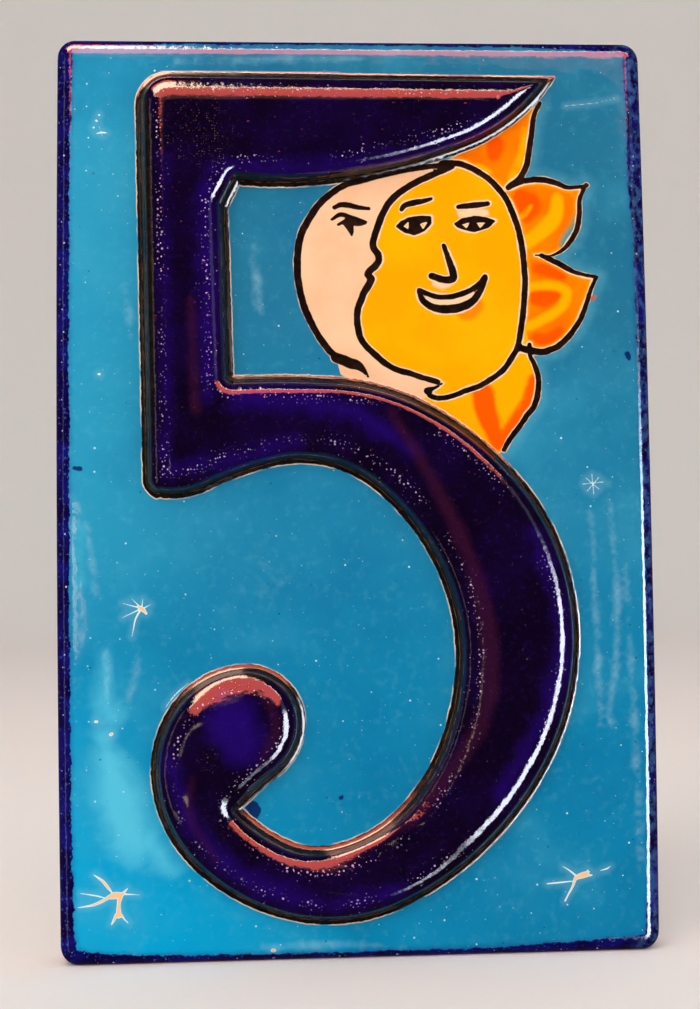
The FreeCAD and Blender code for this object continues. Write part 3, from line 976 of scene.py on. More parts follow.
# %% Build the mould as a node tree
MOULD = {
    "Thickness": float(SLAB_THICKNESS), "Foot start": -0.55, "Foot reach": 1.45, "Foot rise": 0.7,
    "Wall lean": 0.35, "Wall rise": 0.5, "Shoulder reach": 5.0, "Shoulder rise": 2.4,
    "Crown rise": 0.37, "Crown width": 10.5,
    "Arris reach": 2.9, "Arris fall": ARRIS_FALL, "Edge fall": 0.4, "Ripple": 0.3, "Pool": 0.07,
}


def make_mould():
    tree = bpy.data.node_groups.new("tile_mould", "GeometryNodeTree")
    tree.interface.new_socket("Geometry", in_out="INPUT", socket_type="NodeSocketGeometry")
    for name in MOULD:
        tree.interface.new_socket(name, in_out="INPUT", socket_type="NodeSocketFloat")
    tree.interface.new_socket("Glaze", in_out="INPUT", socket_type="NodeSocketMaterial")
    tree.interface.new_socket("Geometry", in_out="OUTPUT", socket_type="NodeSocketGeometry")
    given = tree.nodes.new("NodeGroupInput").outputs

    def measure(name):
        node = tree.nodes.new("GeometryNodeInputNamedAttribute")
        node.data_type = "FLOAT"
        node.inputs["Name"].default_value = name
        return node.outputs["Attribute"]

    depth, edge, brush_gap = measure("numeral_depth"), measure("edge_depth"), measure("brush")
    foot = hollow(tree, rising(tree, depth, given["Foot start"], given["Foot reach"]))
    wall_start = number(tree, "ADD", given["Foot start"], given["Foot reach"])
    wall = rising(tree, depth, wall_start, given["Wall lean"])
    shoulder_start = number(tree, "ADD", wall_start, given["Wall lean"])
    shoulder_reach = number(tree, "MULTIPLY", given["Shoulder reach"], measure("ease"))
    shoulder = round_over(tree, rising(tree, depth, shoulder_start, shoulder_reach))
    crown = rising(tree, measure("swell"), 0.0, given["Crown width"])
    height = number(tree, "MULTIPLY", foot, given["Foot rise"])
    height = number(tree, "MULTIPLY_ADD", wall, given["Wall rise"], height)
    height = number(tree, "MULTIPLY_ADD", shoulder, given["Shoulder rise"], height)
    height = number(tree, "MULTIPLY_ADD", crown, given["Crown rise"], height)
    height = number(tree, "MULTIPLY_ADD", shoulder, measure("lean"), height)

    place = tree.nodes.new("GeometryNodeInputPosition")
    wave = tree.nodes.new("ShaderNodeTexNoise")
    wave.inputs["Scale"].default_value = 46
    wave.inputs["Detail"].default_value = 1.5
    tree.links.new(place.outputs[0], wave.inputs["Vector"])
    calm = ease(tree, rising(tree, number(tree, "MULTIPLY", depth, -1.0), -0.5, 6.0))
    calm = number(tree, "MULTIPLY_ADD", calm, 0.8, 0.2)
    calm = number(tree, "MULTIPLY", calm, rising(tree, edge, 0.0, 7.0))
    ripple = number(tree, "MULTIPLY", number(tree, "SUBTRACT", wave.outputs[0], 0.5), given["Ripple"])
    height = number(tree, "MULTIPLY_ADD", ripple, calm, height)
    pool = ease(tree, rising(tree, brush_gap, -0.25, 0.9))
    height = number(tree, "MULTIPLY_ADD", pool, given["Pool"], height)

    near_edge = number(tree, "SUBTRACT", 1.0, round_over(tree, rising(tree, edge, 0.0, given["Arris reach"])))
    height = number(tree, "SUBTRACT", height, number(tree, "MULTIPLY", near_edge, given["Arris fall"]))
    slope = number(tree, "SUBTRACT", 1.0, rising(tree, edge, 0.0, 9.0))
    slope = number(tree, "MULTIPLY", number(tree, "MULTIPLY", slope, slope), given["Edge fall"])
    height = number(tree, "SUBTRACT", height, slope)
    forward = number(tree, "MULTIPLY", number(tree, "ADD", height, given["Thickness"]), -MM)

    apart = tree.nodes.new("ShaderNodeSeparateXYZ")
    tree.links.new(place.outputs[0], apart.inputs[0])
    joined = tree.nodes.new("ShaderNodeCombineXYZ")
    tree.links.new(apart.outputs[0], joined.inputs[0])
    tree.links.new(forward, joined.inputs[1])
    tree.links.new(apart.outputs[2], joined.inputs[2])
    press = tree.nodes.new("GeometryNodeSetPosition")
    tree.links.new(given["Geometry"], press.inputs["Geometry"])
    tree.links.new(measure("on_front"), press.inputs["Selection"])
    tree.links.new(joined.outputs[0], press.inputs["Position"])
    real = tree.nodes.new("GeometryNodeRealizeInstances")
    tree.links.new(press.outputs[0], real.inputs[0])
    coat = tree.nodes.new("GeometryNodeSetMaterial")
    tree.links.new(real.outputs[0], coat.inputs["Geometry"])
    tree.links.new(given["Glaze"], coat.inputs["Material"])
    tree.links.new(coat.outputs[0], tree.nodes.new("NodeGroupOutput").inputs[0])
    return tree


mould = make_mould()
print("mould nodes:", len(mould.nodes))

# %% [markdown]
# ## The glaze
# One material holds the whole firing: clear, glossy glaze over turquoise, cobalt, cream, yellow and
# orange, with matt brown-black lines between them, and bare clay where the glaze ran out on the
# sides. Colours are written as a screen shows them and changed to the values that light adds up in.

# %% Start a material and mix its colours
def shade(r, g, b):
    """A screen colour from 0 to 255 as linear light."""
    return [((c / 255 + 0.055) / 1.055) ** 2.4 if c > 10 else c / 255 / 12.92 for c in (r, g, b)] + [1.0]


class Palette:
    """Writes the nodes of one material."""

    def __init__(self, name):
        self.material = bpy.data.materials.new(name)
        self.material.use_nodes = True
        self.tree = self.material.node_tree
        self.tree.nodes.clear()
        self.place = self.tree.nodes.new("ShaderNodeTexCoord").outputs["Object"]
        apart = self.tree.nodes.new("ShaderNodeSeparateXYZ")
        self.tree.links.new(self.place, apart.inputs[0])
        self.across, self.upward = apart.outputs[0], apart.outputs[2]

    def measure(self, name):
        node = self.tree.nodes.new("ShaderNodeAttribute")
        node.attribute_name = name
        return node.outputs["Fac"]

    def cloud(self, size, detail=2.0, seed=0.0, warp=0.0):
        """Noise from 0 to 1 with patches of a size in mm."""
        shift = self.tree.nodes.new("ShaderNodeMapping")
        shift.inputs["Location"].default_value = (seed, seed * 0.7, seed * 1.3)
        self.tree.links.new(self.place, shift.inputs[0])
        node = self.tree.nodes.new("ShaderNodeTexNoise")
        node.inputs["Scale"].default_value = 1000 / size
        node.inputs["Detail"].default_value = detail
        node.inputs["Distortion"].default_value = warp
        self.tree.links.new(shift.outputs[0], node.inputs["Vector"])
        return node.outputs["Fac"]

    def specks(self, size, small, large, share, seed=0.0):
        """Round specks on the front, of small to large radius, in a share of the cells of a size, in mm."""
        flat = self.tree.nodes.new("ShaderNodeCombineXYZ")
        self.tree.links.new(self.calc("ADD", self.across, seed), flat.inputs[0])
        self.tree.links.new(self.calc("ADD", self.upward, seed * 0.7), flat.inputs[1])
        cells = self.tree.nodes.new("ShaderNodeTexVoronoi")
        cells.voronoi_dimensions = "2D"
        cells.inputs["Scale"].default_value = 1000 / size
        self.tree.links.new(flat.outputs[0], cells.inputs["Vector"])
        chance = self.tree.nodes.new("ShaderNodeSeparateColor")
        self.tree.links.new(cells.outputs["Color"], chance.inputs[0])
        radius = self.calc("MULTIPLY_ADD", self.calc("POWER", chance.outputs[0], 2.0), large - small, small)
        gap = self.calc("SUBTRACT", self.calc("MULTIPLY", cells.outputs["Distance"], size), radius)
        dot = self.step(gap, 0.06, -0.05)
        return self.calc("MULTIPLY", dot, self.calc("LESS_THAN", chance.outputs[1], share))

    def zone(self, x, z, wide, tall):
        """A round patch: 1 in its middle, given in mm, and 0 from its rim outwards."""
        left = self.calc("DIVIDE", self.calc("SUBTRACT", self.across, x * MM), wide * MM)
        low = self.calc("DIVIDE", self.calc("SUBTRACT", self.upward, z * MM), tall * MM)
        squares = self.calc("ADD", self.calc("MULTIPLY", left, left), self.calc("MULTIPLY", low, low))
        return self.calc("SUBTRACT", 1.0, self.calc("SQRT", squares), clamp=True)

    def band(self, value, middle, half, soft):
        """1 where a value is within half of the middle, and 0 beyond half and soft."""
        return self.step(self.calc("ABSOLUTE", self.calc("SUBTRACT", value, middle)), half + soft, half)

    def step(self, value, start, end):
        """0 to 1 smoothly from start to end, which may run backwards."""
        node = self.tree.nodes.new("ShaderNodeMapRange")
        node.interpolation_type = "SMOOTHSTEP"
        self.tree.links.new(value, node.inputs["Value"])
        for name, amount in (("From Min", start), ("From Max", end)):
            node.inputs[name].default_value = amount
        return node.outputs["Result"]

    def calc(self, kind, *values, clamp=False):
        return number(self.tree, kind, *values, clamp=clamp)

    def mix(self, share, first, second):
        """First colour where share is 0, second where it is 1."""
        node = self.tree.nodes.new("ShaderNodeMix")
        node.data_type = "RGBA"
        for socket, value in ((node.inputs[0], share), (node.inputs[6], first), (node.inputs[7], second)):
            if isinstance(value, (int, float, list)):
                socket.default_value = value
            else:
                self.tree.links.new(value, socket)
        return node.outputs[2]

    def wash(self, base, share, strength, colour):
        """A colour laid over the base, as strong as the share times the strength."""
        return self.mix(self.calc("MULTIPLY", share, strength), base, colour)


glaze = Palette("tin_glaze")
print("palette ready")

# %% [markdown]
# The turquoise is deep in the middle and at the top right, lighter at the left, and a bright blue at
# the bottom left: mostly painted light, where the light falls on the tile, over the glaze's own colour.
# Tin left it milky in places, along with painted reflections of the light, and gas in the kiln left pinholes and
# specks all over; the white pinholes are painted glints.

# %% Mix the turquoise ground
across, upward = glaze.across, glaze.upward
# Painted light over the glaze's turquoise: lighter at the left, bright blue at the bottom left, deeper at the top
# right.
ground = glaze.mix(glaze.step(across, -0.020, -0.050), shade(30, 128, 168), shade(40, 150, 188))
low_down = glaze.calc("MULTIPLY", glaze.step(upward, 0.0, -0.04), 0.75)
ground = glaze.mix(low_down, ground, shade(2, 126, 172))
corner = glaze.calc("MULTIPLY_ADD", across, 0.8, upward)
ground = glaze.mix(glaze.step(corner, -0.050, -0.115), ground, shade(0, 162, 212))
ground = glaze.mix(glaze.step(glaze.calc("ADD", across, upward), 0.02, 0.10), ground, shade(26, 114, 150))
inner = glaze.calc("MULTIPLY", glaze.step(upward, 0.012, 0.036), glaze.step(across, -0.034, -0.024))
ground = glaze.wash(ground, inner, 0.7, shade(36, 112, 146))
mottle = glaze.cloud(16, 4, 0.3)
ground = glaze.wash(ground, glaze.step(mottle, 0.48, 0.75), 0.25, shade(70, 170, 200))
ground = glaze.wash(ground, glaze.step(mottle, 0.5, 0.25), 0.3, shade(0, 100, 150))
fine = glaze.cloud(1.6, 4, 1.1)
ground = glaze.wash(ground, glaze.step(fine, 0.5, 0.8), 0.12, shade(96, 186, 210))
# Milky runs and patches: partly tin in the glaze, partly painted reflections of the light.
wisps = glaze.calc("MULTIPLY_ADD", glaze.cloud(3.5, 5, 1.7, 0.6), 3.4, -1.9)
milk_and_sheen = glaze.step(glaze.calc("ADD", glaze.measure("milk_and_sheen"), wisps), -1.0, 1.3)
patch = glaze.calc("MULTIPLY_ADD", glaze.cloud(9, 5, 1.9, 0.8), 8.0, -4.6)
patch = glaze.step(glaze.calc("ADD", glaze.measure("milk_and_sheen_patch"), patch), -3.2, 3.0)
ground = glaze.wash(ground, patch, 0.75, shade(92, 202, 230))
ground = glaze.wash(ground, milk_and_sheen, 0.42, shade(160, 212, 230))
# Painted glints: the white of the pinholes stands for light caught in small bubbles; the dark specks are the
# glaze's own.
pinholes_and_glints = glaze.specks(5.6, 0.03, 0.19, 0.6, 0.31)
pinholes_and_glints = glaze.calc("MAXIMUM", pinholes_and_glints, glaze.specks(2.4, 0.01, 0.08, 0.4, 0.47))
dark_specks = glaze.specks(8.0, 0.06, 0.2, 0.5, 0.63)
ground = glaze.wash(ground, dark_specks, 0.6, shade(10, 58, 88))
ground = glaze.wash(ground, pinholes_and_glints, 0.7, shade(196, 236, 244))
print("turquoise mixed")

# %% [markdown]
# Cream shows wherever a colour stops short of a line. Each field of colour is laid over the cream up
# to a wavering distance from the lines round it.

# %% Fill the sun, the moon and the petals
brush_gap = glaze.measure("brush")
waver = glaze.cloud(3.0, 2, 2.3)
CREAM = shade(246, 206, 166)
drawn_back = glaze.calc("MULTIPLY_ADD", waver, 0.8, -0.26)
covered = glaze.calc("SUBTRACT", brush_gap, drawn_back)
in_moon, in_sun, in_petals = glaze.measure("moon"), glaze.measure("sun"), glaze.measure("petals")
halo = glaze.step(glaze.calc("MULTIPLY_ADD", waver, 0.5, brush_gap), 0.42, 0.2)
glow = glaze.calc("MULTIPLY", glaze.step(brush_gap, 2.4, 0.2), glaze.step(across, 0.0, 0.03))
glow = glaze.calc("MULTIPLY", glow, glaze.calc("MULTIPLY_ADD", waver, 0.3, 0.02))
pale_turquoise = glaze.mix(glow, ground, shade(120, 196, 206))
paint = glaze.wash(pale_turquoise, halo, 0.85, CREAM)
peach = glaze.mix(glaze.step(glaze.cloud(9, 3, 4.0), 0.35, 0.7), shade(248, 200, 160), shade(242, 188, 146))
paint = glaze.mix(glaze.step(in_moon, -0.1, 0.1), paint, peach)
amber = glaze.mix(glaze.step(glaze.cloud(14, 3, 5.0), 0.35, 0.65), shade(248, 166, 0), shade(250, 178, 2))
sun_cover = glaze.calc("MULTIPLY", glaze.step(in_sun, 0.0, 0.2), glaze.step(covered, 0.0, 0.18))
lid = glaze.step(glaze.calc("MULTIPLY_ADD", waver, 0.5, glaze.measure("bare_lid")), -0.2, 0.5)
sun_cover = glaze.calc("MULTIPLY", sun_cover, glaze.calc("SUBTRACT", 1.0, lid))
deep_orange = glaze.step(glaze.calc("MULTIPLY_ADD", waver, 0.5, glaze.measure("orange")), -0.5, 0.7)
amber = glaze.wash(amber, deep_orange, 0.7, shade(250, 110, 6))
paint = glaze.mix(glaze.step(in_sun, -0.1, 0.1), paint, CREAM)
paint = glaze.mix(sun_cover, paint, amber)
orange = glaze.mix(glaze.step(glaze.cloud(6, 2, 6.0), 0.35, 0.65), shade(246, 112, 0), shade(250, 128, 0))
orange = glaze.mix(deep_orange, orange, shade(246, 84, 0))
golden = shade(250, 172, 0)
golden_run = glaze.calc("MULTIPLY_ADD", waver, 0.5, glaze.measure("yellow"))
petal = glaze.mix(glaze.step(golden_run, -0.35, 0.7), orange, golden)
petal = glaze.wash(petal, glaze.step(brush_gap, 0.9, 0.3), 0.4, golden)
low_petal = glaze.mix(deep_orange, golden, shade(248, 90, 0))
petal = glaze.mix(glaze.step(glaze.measure("low_petal"), -0.05, 0.05), petal, low_petal)
green = glaze.measure("green")
petal = glaze.wash(petal, glaze.step(green, -0.7, 0.2), 0.8, shade(138, 146, 84))
petal = glaze.wash(petal, glaze.step(green, 0.0, 0.6), 0.8, shade(40, 140, 164))
paint = glaze.mix(glaze.step(in_petals, -0.1, 0.1), paint, CREAM)
petal_cover = glaze.calc("MULTIPLY", glaze.step(in_petals, 0.0, 0.2), glaze.step(covered, -0.05, 0.15))
paint = glaze.mix(petal_cover, paint, petal)
paint = glaze.mix(glaze.step(glaze.measure("mouth"), -0.08, 0.08), paint, CREAM)
print("fields mixed")

# %% [markdown]
# The drops, the bare stars and the rim follow. The rim was dabbed on, so its inner edge is ragged and
# lighter blue specks show in it, with white specks painted as glints; its right side is lighter with a painted
# reflection. Along the very edge and down the sides it is a brownish purple, partly burnt and partly painted
# shade, with painted grey highlights.

# %% Lay the drops, the stars and the rim
paint = glaze.wash(paint, glaze.step(glaze.measure("orange_drop"), -0.12, 0.1), 0.8, shade(186, 92, 44))
blue_drop = glaze.calc("MULTIPLY_ADD", glaze.cloud(1.8, 3, 6.6), 1.4, glaze.measure("blue_drop"))
paint = glaze.wash(paint, glaze.step(blue_drop, 0.55, 0.85), 0.9, shade(8, 14, 92))
star_gap = glaze.measure("star")
paint = glaze.wash(paint, glaze.step(star_gap, 1.3, 0.0), 0.14, shade(150, 214, 232))
paint = glaze.mix(glaze.step(star_gap, 0.07, -0.03), paint, shade(214, 240, 238))
paint = glaze.mix(glaze.step(star_gap, -0.05, -0.13), paint, shade(250, 196, 146))
edge = glaze.measure("edge_depth")
rim = glaze.calc("MULTIPLY_ADD", glaze.cloud(2.6, 3, 7.0), 1.0, glaze.measure("rim_cover"))
rim = glaze.calc("MULTIPLY_ADD", glaze.cloud(0.8, 3, 7.5), 0.9, glaze.calc("SUBTRACT", rim, 0.95))
cobalt = glaze.mix(glaze.step(glaze.cloud(4, 4, 8.0), 0.38, 0.68), shade(6, 3, 60), shade(14, 16, 104))
on_top = glaze.step(edge, 0.05, 0.4)
dabs = glaze.calc("MULTIPLY", glaze.specks(0.9, 0.08, 0.24, 0.6, 0.71), on_top)
cobalt = glaze.wash(cobalt, dabs, 0.5, shade(58, 84, 168))
# Painted glints: white specks in the rim.
rim_glint_specks = glaze.calc("MULTIPLY", glaze.specks(2.0, 0.04, 0.18, 0.45, 0.83), on_top)
cobalt = glaze.wash(cobalt, rim_glint_specks, 0.7, shade(196, 206, 232))
# Painted reflection: the right rim is lighter, where the light shows in it.
right_rim_sheen = glaze.step(across, 0.047, 0.051)
right_rim_sheen = glaze.calc("MULTIPLY", right_rim_sheen, glaze.step(glaze.cloud(1.4, 4, 8.7), 0.4, 0.65))
cobalt = glaze.wash(cobalt, right_rim_sheen, 0.55, shade(62, 104, 160))
# Brownish purple along the very edge and down the sides: partly burnt glaze, partly painted shade.
burnt_and_shaded_edge = glaze.step(glaze.calc("MULTIPLY_ADD", glaze.cloud(3.0, 3, 9.0), 1.6, edge), 1.15, 0.4)
cobalt = glaze.wash(cobalt, burnt_and_shaded_edge, 0.7, shade(66, 34, 48))
# Painted highlights: grey patches on the brownish purple edge.
edge_grey_highlights = glaze.calc("MULTIPLY", burnt_and_shaded_edge, glaze.step(glaze.cloud(2.0, 4, 9.5), 0.55, 0.7))
cobalt = glaze.wash(cobalt, edge_grey_highlights, 0.45, shade(132, 124, 134))
paint = glaze.wash(paint, glaze.step(rim, -0.9, 0.2), 0.4, shade(20, 60, 140))
paint = glaze.mix(glaze.step(rim, -0.08, 0.12), paint, cobalt)
print("rim mixed")

# %% [markdown]
# The numeral's cobalt is almost black. It is violet partly where it ran thin and partly as painted light,
# brown along the crest as a painted reflection, and rows of fine pits where the shoulder meets the top are painted
# pale as glints.

# %% Mix the numeral's cobalt
depth = glaze.measure("numeral_depth")
drift = glaze.calc("MULTIPLY_ADD", glaze.cloud(4, 5, 10.3), 4.4, -2.3)
night = glaze.mix(glaze.step(glaze.cloud(14, 3, 10.0), 0.4, 0.65), shade(8, 1, 26), shade(14, 2, 45))
# Violet: partly thin cobalt, partly painted light.
thin_and_lit = glaze.step(glaze.calc("ADD", glaze.measure("thin_and_lit_cobalt"), drift), -2.2, 3.0)
night = glaze.wash(night, thin_and_lit, 0.85, shade(31, 5, 104))
# Painted reflection: brown along the crest.
crest_reflection = glaze.step(glaze.calc("MULTIPLY_ADD", drift, 0.3, glaze.measure("crest_reflection")), -1.2, 0.9)
night = glaze.wash(night, crest_reflection, 0.6, shade(54, 15, 42))
night = glaze.wash(night, glaze.step(glaze.cloud(0.9, 3, 11.0), 0.52, 0.8), 0.16, shade(52, 24, 122))
# Painted glints: the pits along the shoulder are painted pale, as light caught in them.
pits_and_glints = glaze.calc("MULTIPLY", glaze.specks(0.72, 0.05, 0.19, 0.7, 0.11), glaze.band(depth, 4.0, 0.2, 0.65))
loose_pits_and_glints = glaze.calc("MULTIPLY", glaze.specks(1.2, 0.02, 0.1, 0.5, 0.17), glaze.band(depth, 3.6, 1.2, 1.6))
pits_and_glints = glaze.calc("MAXIMUM", pits_and_glints, loose_pits_and_glints)
pits_and_glints = glaze.calc("MULTIPLY", pits_and_glints, glaze.step(glaze.cloud(9, 3, 11.5), 0.38, 0.56))
night = glaze.wash(night, pits_and_glints, 0.75, shade(204, 182, 220))
# Painted glints: gold-brown specks where small pits catch the light, in two patches.
gilt_glints = glaze.calc("ADD", glaze.zone(-27.5, 64, 8, 8), glaze.zone(-26.9, -46.5, 2.6, 3.2))
gilt_glints = glaze.step(glaze.calc("MULTIPLY_ADD", glaze.cloud(2.5, 3, 11.8), 1.2, gilt_glints), 0.6, 1.3)
gilt_glints = glaze.calc("MULTIPLY", gilt_glints, glaze.specks(0.46, 0.0, 0.09, 0.45, 0.23))
night = glaze.wash(night, gilt_glints, 0.8, shade(132, 104, 74))
paint = glaze.mix(glaze.step(depth, -0.02, 0.05), paint, night)
print("numeral mixed")

# %% [markdown]
# The lines are a brown-black paint that the glaze hardly covers. Two hairlines of a paler brown run
# at set depths in the broad one round the numeral's foot.

# %% Draw the lines
line_waver = glaze.calc("MULTIPLY_ADD", glaze.cloud(1.1, 2, 12.0), 0.24, -0.12)
foot_line = glaze.step(glaze.calc("MULTIPLY_ADD", line_waver, 1.6, glaze.measure("line_cover")), -0.06, 0.06)
off_numeral = glaze.step(depth, 0.02, -0.05)
stroke_line = glaze.step(glaze.calc("ADD", brush_gap, line_waver), 0.05, -0.05)
stroke_line = glaze.calc("MULTIPLY", stroke_line, off_numeral)
lines = glaze.calc("MAXIMUM", foot_line, stroke_line)
foot_halo = glaze.step(glaze.calc("MULTIPLY_ADD", line_waver, 1.3, depth), -0.4, -0.3)
foot_halo = glaze.calc("MULTIPLY", foot_halo, off_numeral)
foot_halo = glaze.calc("MULTIPLY", foot_halo, glaze.step(glaze.cloud(6, 3, 12.6), 0.36, 0.56))
paint = glaze.wash(paint, foot_halo, 0.85, shade(226, 208, 178))
line_tone = glaze.mix(glaze.step(glaze.cloud(1.6, 3, 13.0), 0.4, 0.75), shade(14, 8, 8), shade(34, 22, 15))
wander = glaze.calc("MULTIPLY_ADD", glaze.cloud(4.0, 2, 13.4), 0.5, -0.25)
wavering_depth = glaze.calc("ADD", depth, wander)
hairlines = glaze.band(wavering_depth, 0.55, 0.03, 0.06)
hairlines = glaze.calc("MAXIMUM", hairlines, glaze.band(wavering_depth, 1.15, 0.03, 0.06))
hairlines = glaze.calc("MULTIPLY", hairlines, glaze.step(glaze.cloud(2.2, 3, 13.7), 0.42, 0.6))
line_tone = glaze.wash(line_tone, hairlines, 0.75, shade(96, 68, 46))
paint = glaze.mix(lines, paint, line_tone)
print("lines drawn")

# %% [markdown]
# On the sides the glaze runs out in a wavy edge, and the red clay shows below it and on the back.

# %% Bare the clay and finish the material
runs_to = glaze.calc("MULTIPLY_ADD", glaze.cloud(9, 2, 14.0), 6.0, -6.2)
bare = glaze.step(glaze.calc("SUBTRACT", edge, runs_to), 0.15, -0.1)
clay = glaze.mix(glaze.step(glaze.cloud(7, 5, 15.0), 0.35, 0.7), shade(172, 102, 71), shade(156, 90, 62))
clay = glaze.wash(clay, glaze.step(glaze.cloud(0.9, 2, 16.0), 0.6, 0.75), 0.4, shade(206, 150, 118))
paint = glaze.mix(bare, paint, clay)
surface = glaze.tree.nodes.new("ShaderNodeBsdfPrincipled")
glaze.tree.links.new(paint, surface.inputs["Base Color"])
shine = glaze.calc("MULTIPLY_ADD", glaze.step(glaze.cloud(11, 3, 17.0), 0.3, 0.8), 0.05, 0.045)
shine = glaze.calc("MULTIPLY_ADD", lines, 0.1, shine)
shine = glaze.calc("MAXIMUM", shine, glaze.calc("MULTIPLY", bare, 0.85))
glaze.tree.links.new(shine, surface.inputs["Roughness"])
surface.inputs["IOR"].default_value = 1.5
skin = glaze.calc("MULTIPLY", glaze.cloud(1.6, 2, 18.0), 0.006)
skin = glaze.calc("MULTIPLY_ADD", glaze.cloud(4.5, 1, 19.0), 0.05, skin)
curdle = glaze.calc("MAXIMUM", glaze.band(depth, 3.0, 1.4, 1.6), glaze.step(edge, 4.5, 1.5))
skin = glaze.calc("MULTIPLY_ADD", glaze.calc("MULTIPLY", glaze.cloud(1.2, 3, 19.5), curdle), 0.05, skin)
skin = glaze.calc("MULTIPLY_ADD", glaze.calc("MAXIMUM", pits_and_glints, pinholes_and_glints), 0.02, skin)
skin = glaze.calc("MULTIPLY_ADD", glaze.calc("MULTIPLY", glaze.cloud(0.6, 3, 20.0), bare), 0.2, skin)
relief = glaze.tree.nodes.new("ShaderNodeBump")
relief.inputs["Distance"].default_value = MM
glaze.tree.links.new(skin, relief.inputs["Height"])
glaze.tree.links.new(relief.outputs[0], surface.inputs["Normal"])
result = glaze.tree.nodes.new("ShaderNodeOutputMaterial")
glaze.tree.links.new(surface.outputs[0], result.inputs["Surface"])
print("glaze nodes:", len(glaze.tree.nodes))

# %% [markdown]
# The mould is put on the blank, its sizes are set, and the pressed tile is kept as a plain mesh.

# %% Press the tile
press = blank.modifiers.new("mould", "NODES")
press.node_group = mould
sockets = {item.name: item.identifier for item in mould.interface.items_tree if item.in_out == "INPUT"}
for name, size in MOULD.items():
    press[sockets[name]] = size
press[sockets["Glaze"]] = glaze.material
bpy.context.view_layer.update()
pressed = bpy.data.meshes.new_from_object(blank.evaluated_get(bpy.context.evaluated_depsgraph_get()))
blank.modifiers.clear()
blank.data = pressed
pressed.shade_smooth()
pressed.set_sharp_from_angle(angle=math.radians(60))
tile = blank
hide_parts("number_tile")
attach(tile, "root")
heights = np.array([v.co.y for v in pressed.vertices]) / MM
triangle_count = sum(len(p.vertices) - 2 for p in pressed.polygons)
print("tile triangles:", triangle_count, "foremost", round(heights.min(), 2))

# %% [markdown]
# ## The stage
# The tile stands on a pale floor that curves up far away on every side, so that it shows behind the
# tile from all round. It is turned from one profile.

# %% Make the floor
FLOOR_LEVEL = -TILE_HEIGHT / 2 * MM
FLAT_REACH, CURVE_REACH, WALL_TOP = 1.5, 0.8, 1.4
profile = [(0.0, 0.0), (0.4, 0.0), (FLAT_REACH, 0.0)]
for i in range(1, 13):
    turn = i / 12 * math.pi / 2
    profile.append((FLAT_REACH + CURVE_REACH * math.sin(turn), CURVE_REACH * (1 - math.cos(turn))))
profile.append((FLAT_REACH + CURVE_REACH, WALL_TOP))
AROUND = 96
floor_points, floor_faces = [(0, 0, FLOOR_LEVEL)], []
for radius, height in profile[1:]:
    for k in range(AROUND):
        turn = 2 * math.pi * k / AROUND
        floor_points.append((radius * math.cos(turn), radius * math.sin(turn), FLOOR_LEVEL + height))
for k in range(AROUND):
    floor_faces.append((0, 1 + k, 1 + (k + 1) % AROUND))
    for row in range(len(profile) - 2):
        a, b = 1 + row * AROUND + k, 1 + row * AROUND + (k + 1) % AROUND
        floor_faces.append((a, a + AROUND, b + AROUND, b))
floor_mesh = bpy.data.meshes.new("floor")
floor_mesh.from_pydata(floor_points, [], floor_faces)
floor_mesh.shade_smooth()
floor = bpy.data.objects.new("floor", floor_mesh)
bpy.context.scene.collection.objects.link(floor)
paper = bpy.data.materials.new("pale_paper")
paper.use_nodes = True
paper.node_tree.nodes["Principled BSDF"].inputs["Base Color"].default_value = shade(232, 229, 224)
paper.node_tree.nodes["Principled BSDF"].inputs["Roughness"].default_value = 0.9
floor_mesh.materials.append(paper)
floor.visible_glossy = False
print("floor at", round(FLOOR_LEVEL, 4))

# %% [markdown]
# The light is soft and comes from wide panels. A glazed piece is a curved mirror, so what it mirrors is
# chosen on its own: the panels light the tile without showing in it, and plain cards show in it
# without lighting it. Photographers of glazed ware do the same with black and white board.
# A card is left out of the lights that are aimed at, so no work goes into light that it never gives.

# %% Hang the light panels
TILE_FRONT = Vector((0, -0.011, 0))


def facing(place, aim):
    return Matrix.Translation(place) @ (aim - place).to_track_quat("-Z", "Y").to_matrix().to_4x4()


def panel(name, place, width, height, watts, tint):
    lamp = bpy.data.lights.new(name, "AREA")
    lamp.shape = "RECTANGLE"
    lamp.size, lamp.size_y = width, height
    lamp.energy = watts
    lamp.color = tint
    holder = bpy.data.objects.new(name, lamp)
    holder.visible_glossy = False
    bpy.context.scene.collection.objects.link(holder)
    holder.matrix_world = facing(Vector(place), TILE_FRONT)


panel("top_panel", (-0.25, -0.7, 0.75), 0.7, 0.5, 4.5, (1.0, 0.95, 0.9))
panel("left_panel", (-0.95, -0.75, 0.1), 0.4, 0.9, 4.5, (1.0, 0.98, 0.96))
panel("right_panel", (0.9, -0.6, 0.0), 0.4, 0.8, 2.5, (0.95, 0.97, 1.0))
print("panels hung")

# %% [markdown]
# A card is bent round the tile like a strip of a ball, so that it shows as a band of even width along
# a rounded shoulder. Its light runs through named tints across its width or along its length.

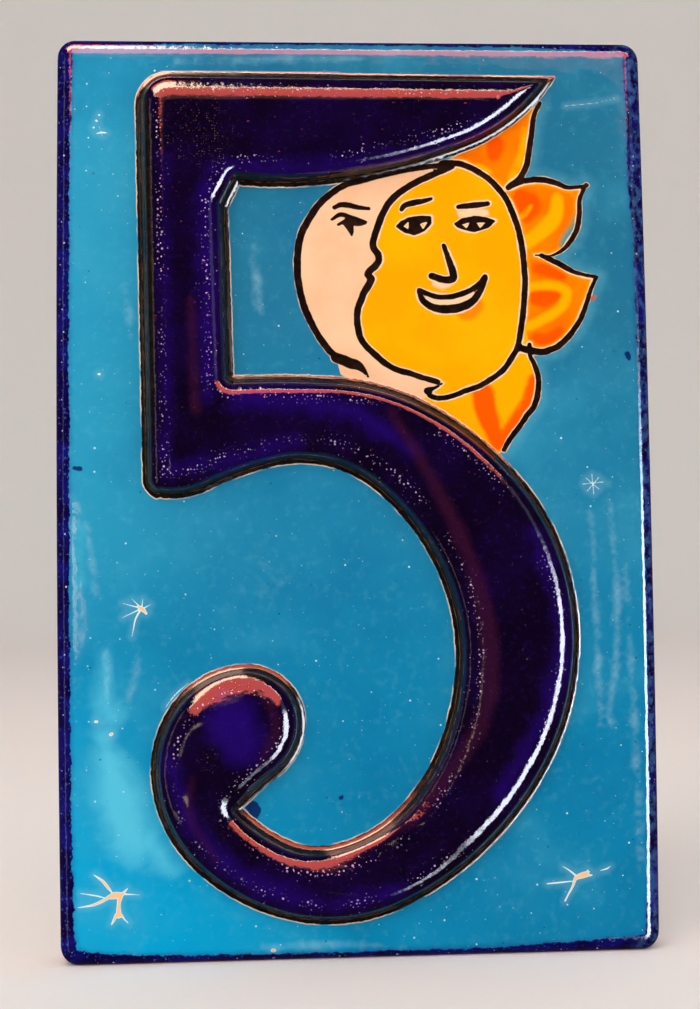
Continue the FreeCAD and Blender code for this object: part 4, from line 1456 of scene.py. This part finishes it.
# %% Stand the cards
def card(name, turn, lift, reach, tints, lengthwise=False):
    """A bent board that only shows in the glaze.

    turn is where it starts and ends round the line to the camera, anticlockwise from the right, and
    lift is how far from that line, both in degrees. tints holds (share, colour, strength).
    """
    steps = 24
    points, run = [], []
    for i in range(steps + 1):
        around = math.radians(turn[0] + (turn[1] - turn[0]) * i / steps)
        for k, away in enumerate(lift):
            out = math.sin(math.radians(away))
            way = Vector((out * math.cos(around), -math.cos(math.radians(away)), out * math.sin(around)))
            points.append(tuple(TILE_FRONT + way * reach))
            run.append(i / steps if lengthwise else float(k))
    mesh = bpy.data.meshes.new(name)
    mesh.from_pydata(points, [], [(2 * i, 2 * i + 1, 2 * i + 3, 2 * i + 2) for i in range(steps)])
    mesh.attributes.new("run", "FLOAT", "POINT").data.foreach_set("value", run)
    board = bpy.data.objects.new(name, mesh)
    bpy.context.scene.collection.objects.link(board)
    material = bpy.data.materials.new(name)
    material.use_nodes = True
    tree = material.node_tree
    tree.nodes.clear()
    along = tree.nodes.new("ShaderNodeAttribute")
    along.attribute_name = "run"
    ramp = tree.nodes.new("ShaderNodeValToRGB")
    tree.links.new(along.outputs["Fac"], ramp.inputs[0])
    stops = ramp.color_ramp.elements
    for i, (share, colour, strength) in enumerate(tints):
        stop = stops[i] if i < 2 else stops.new(share)
        stop.position = share
        stop.color = [c * strength for c in colour[:3]] + [1.0]
    glow = tree.nodes.new("ShaderNodeEmission")
    tree.links.new(ramp.outputs[0], glow.inputs["Color"])
    tree.links.new(glow.outputs[0], tree.nodes.new("ShaderNodeOutputMaterial").inputs["Surface"])
    mesh.materials.append(material)
    material.cycles.emission_sampling = "NONE"
    board.visible_camera = board.visible_diffuse = board.visible_shadow = False
    board.visible_transmission = board.visible_volume_scatter = False


SALMON, CREAM_LIGHT, WOOD = shade(226, 92, 74), shade(255, 226, 190), shade(96, 62, 40)
WINDOW, GILT = shade(236, 242, 255), shade(150, 104, 60)
card("front_booth", (0, 360), (0.5, 95), 8.0, [(0.0, WOOD, 0.35), (1.0, WOOD, 0.5)])
card("back_booth", (0, 360), (95, 179.5), 8.0, [(0.0, WOOD, 0.5), (1.0, WOOD, 0.5)])
card("warm_card", (38, 142), (27, 56), 3.0, [
    (0.0, GILT, 3.0), (0.1, GILT, 4.0), (0.16, SALMON, 16.0), (0.9, SALMON, 17.0),
    (0.95, CREAM_LIGHT, 24.0),
    (1.0, CREAM_LIGHT, 26.0),
])
card("cream_card", (94, 132), (52, 82), 2.8, [
    (0.0, CREAM_LIGHT, 24.0), (0.6, CREAM_LIGHT, 24.0), (0.75, SALMON, 16.0), (1.0, SALMON, 16.0),
])
card("window_card", (-66, 36), (40, 54), 0.6, [
    (0.0, WINDOW, 2.0), (0.08, WINDOW, 6.0), (0.18, WINDOW, 24.0), (0.65, WINDOW, 26.0),
    (0.72, WINDOW, 13.0),
    (0.8, WINDOW, 0.8), (1.0, WINDOW, 0.6),
], lengthwise=True)
card("left_card", (150, 215), (62, 67), 0.6, [(0.0, CREAM_LIGHT, 1.6), (1.0, CREAM_LIGHT, 1.6)])
card("gilt_card", (170, 192), (13.5, 16.5), 2.5, [(0.0, CREAM_LIGHT, 4.0), (1.0, CREAM_LIGHT, 5.0)])
sky = bpy.data.worlds.new("sky")
sky.use_nodes = True
sky.node_tree.nodes["Background"].inputs["Color"].default_value = (0.95, 0.97, 1.0, 1)
sky.node_tree.nodes["Background"].inputs["Strength"].default_value = 0.75
bpy.context.scene.world = sky
bpy.context.scene.view_settings.view_transform = "Standard"
print("cards stood")
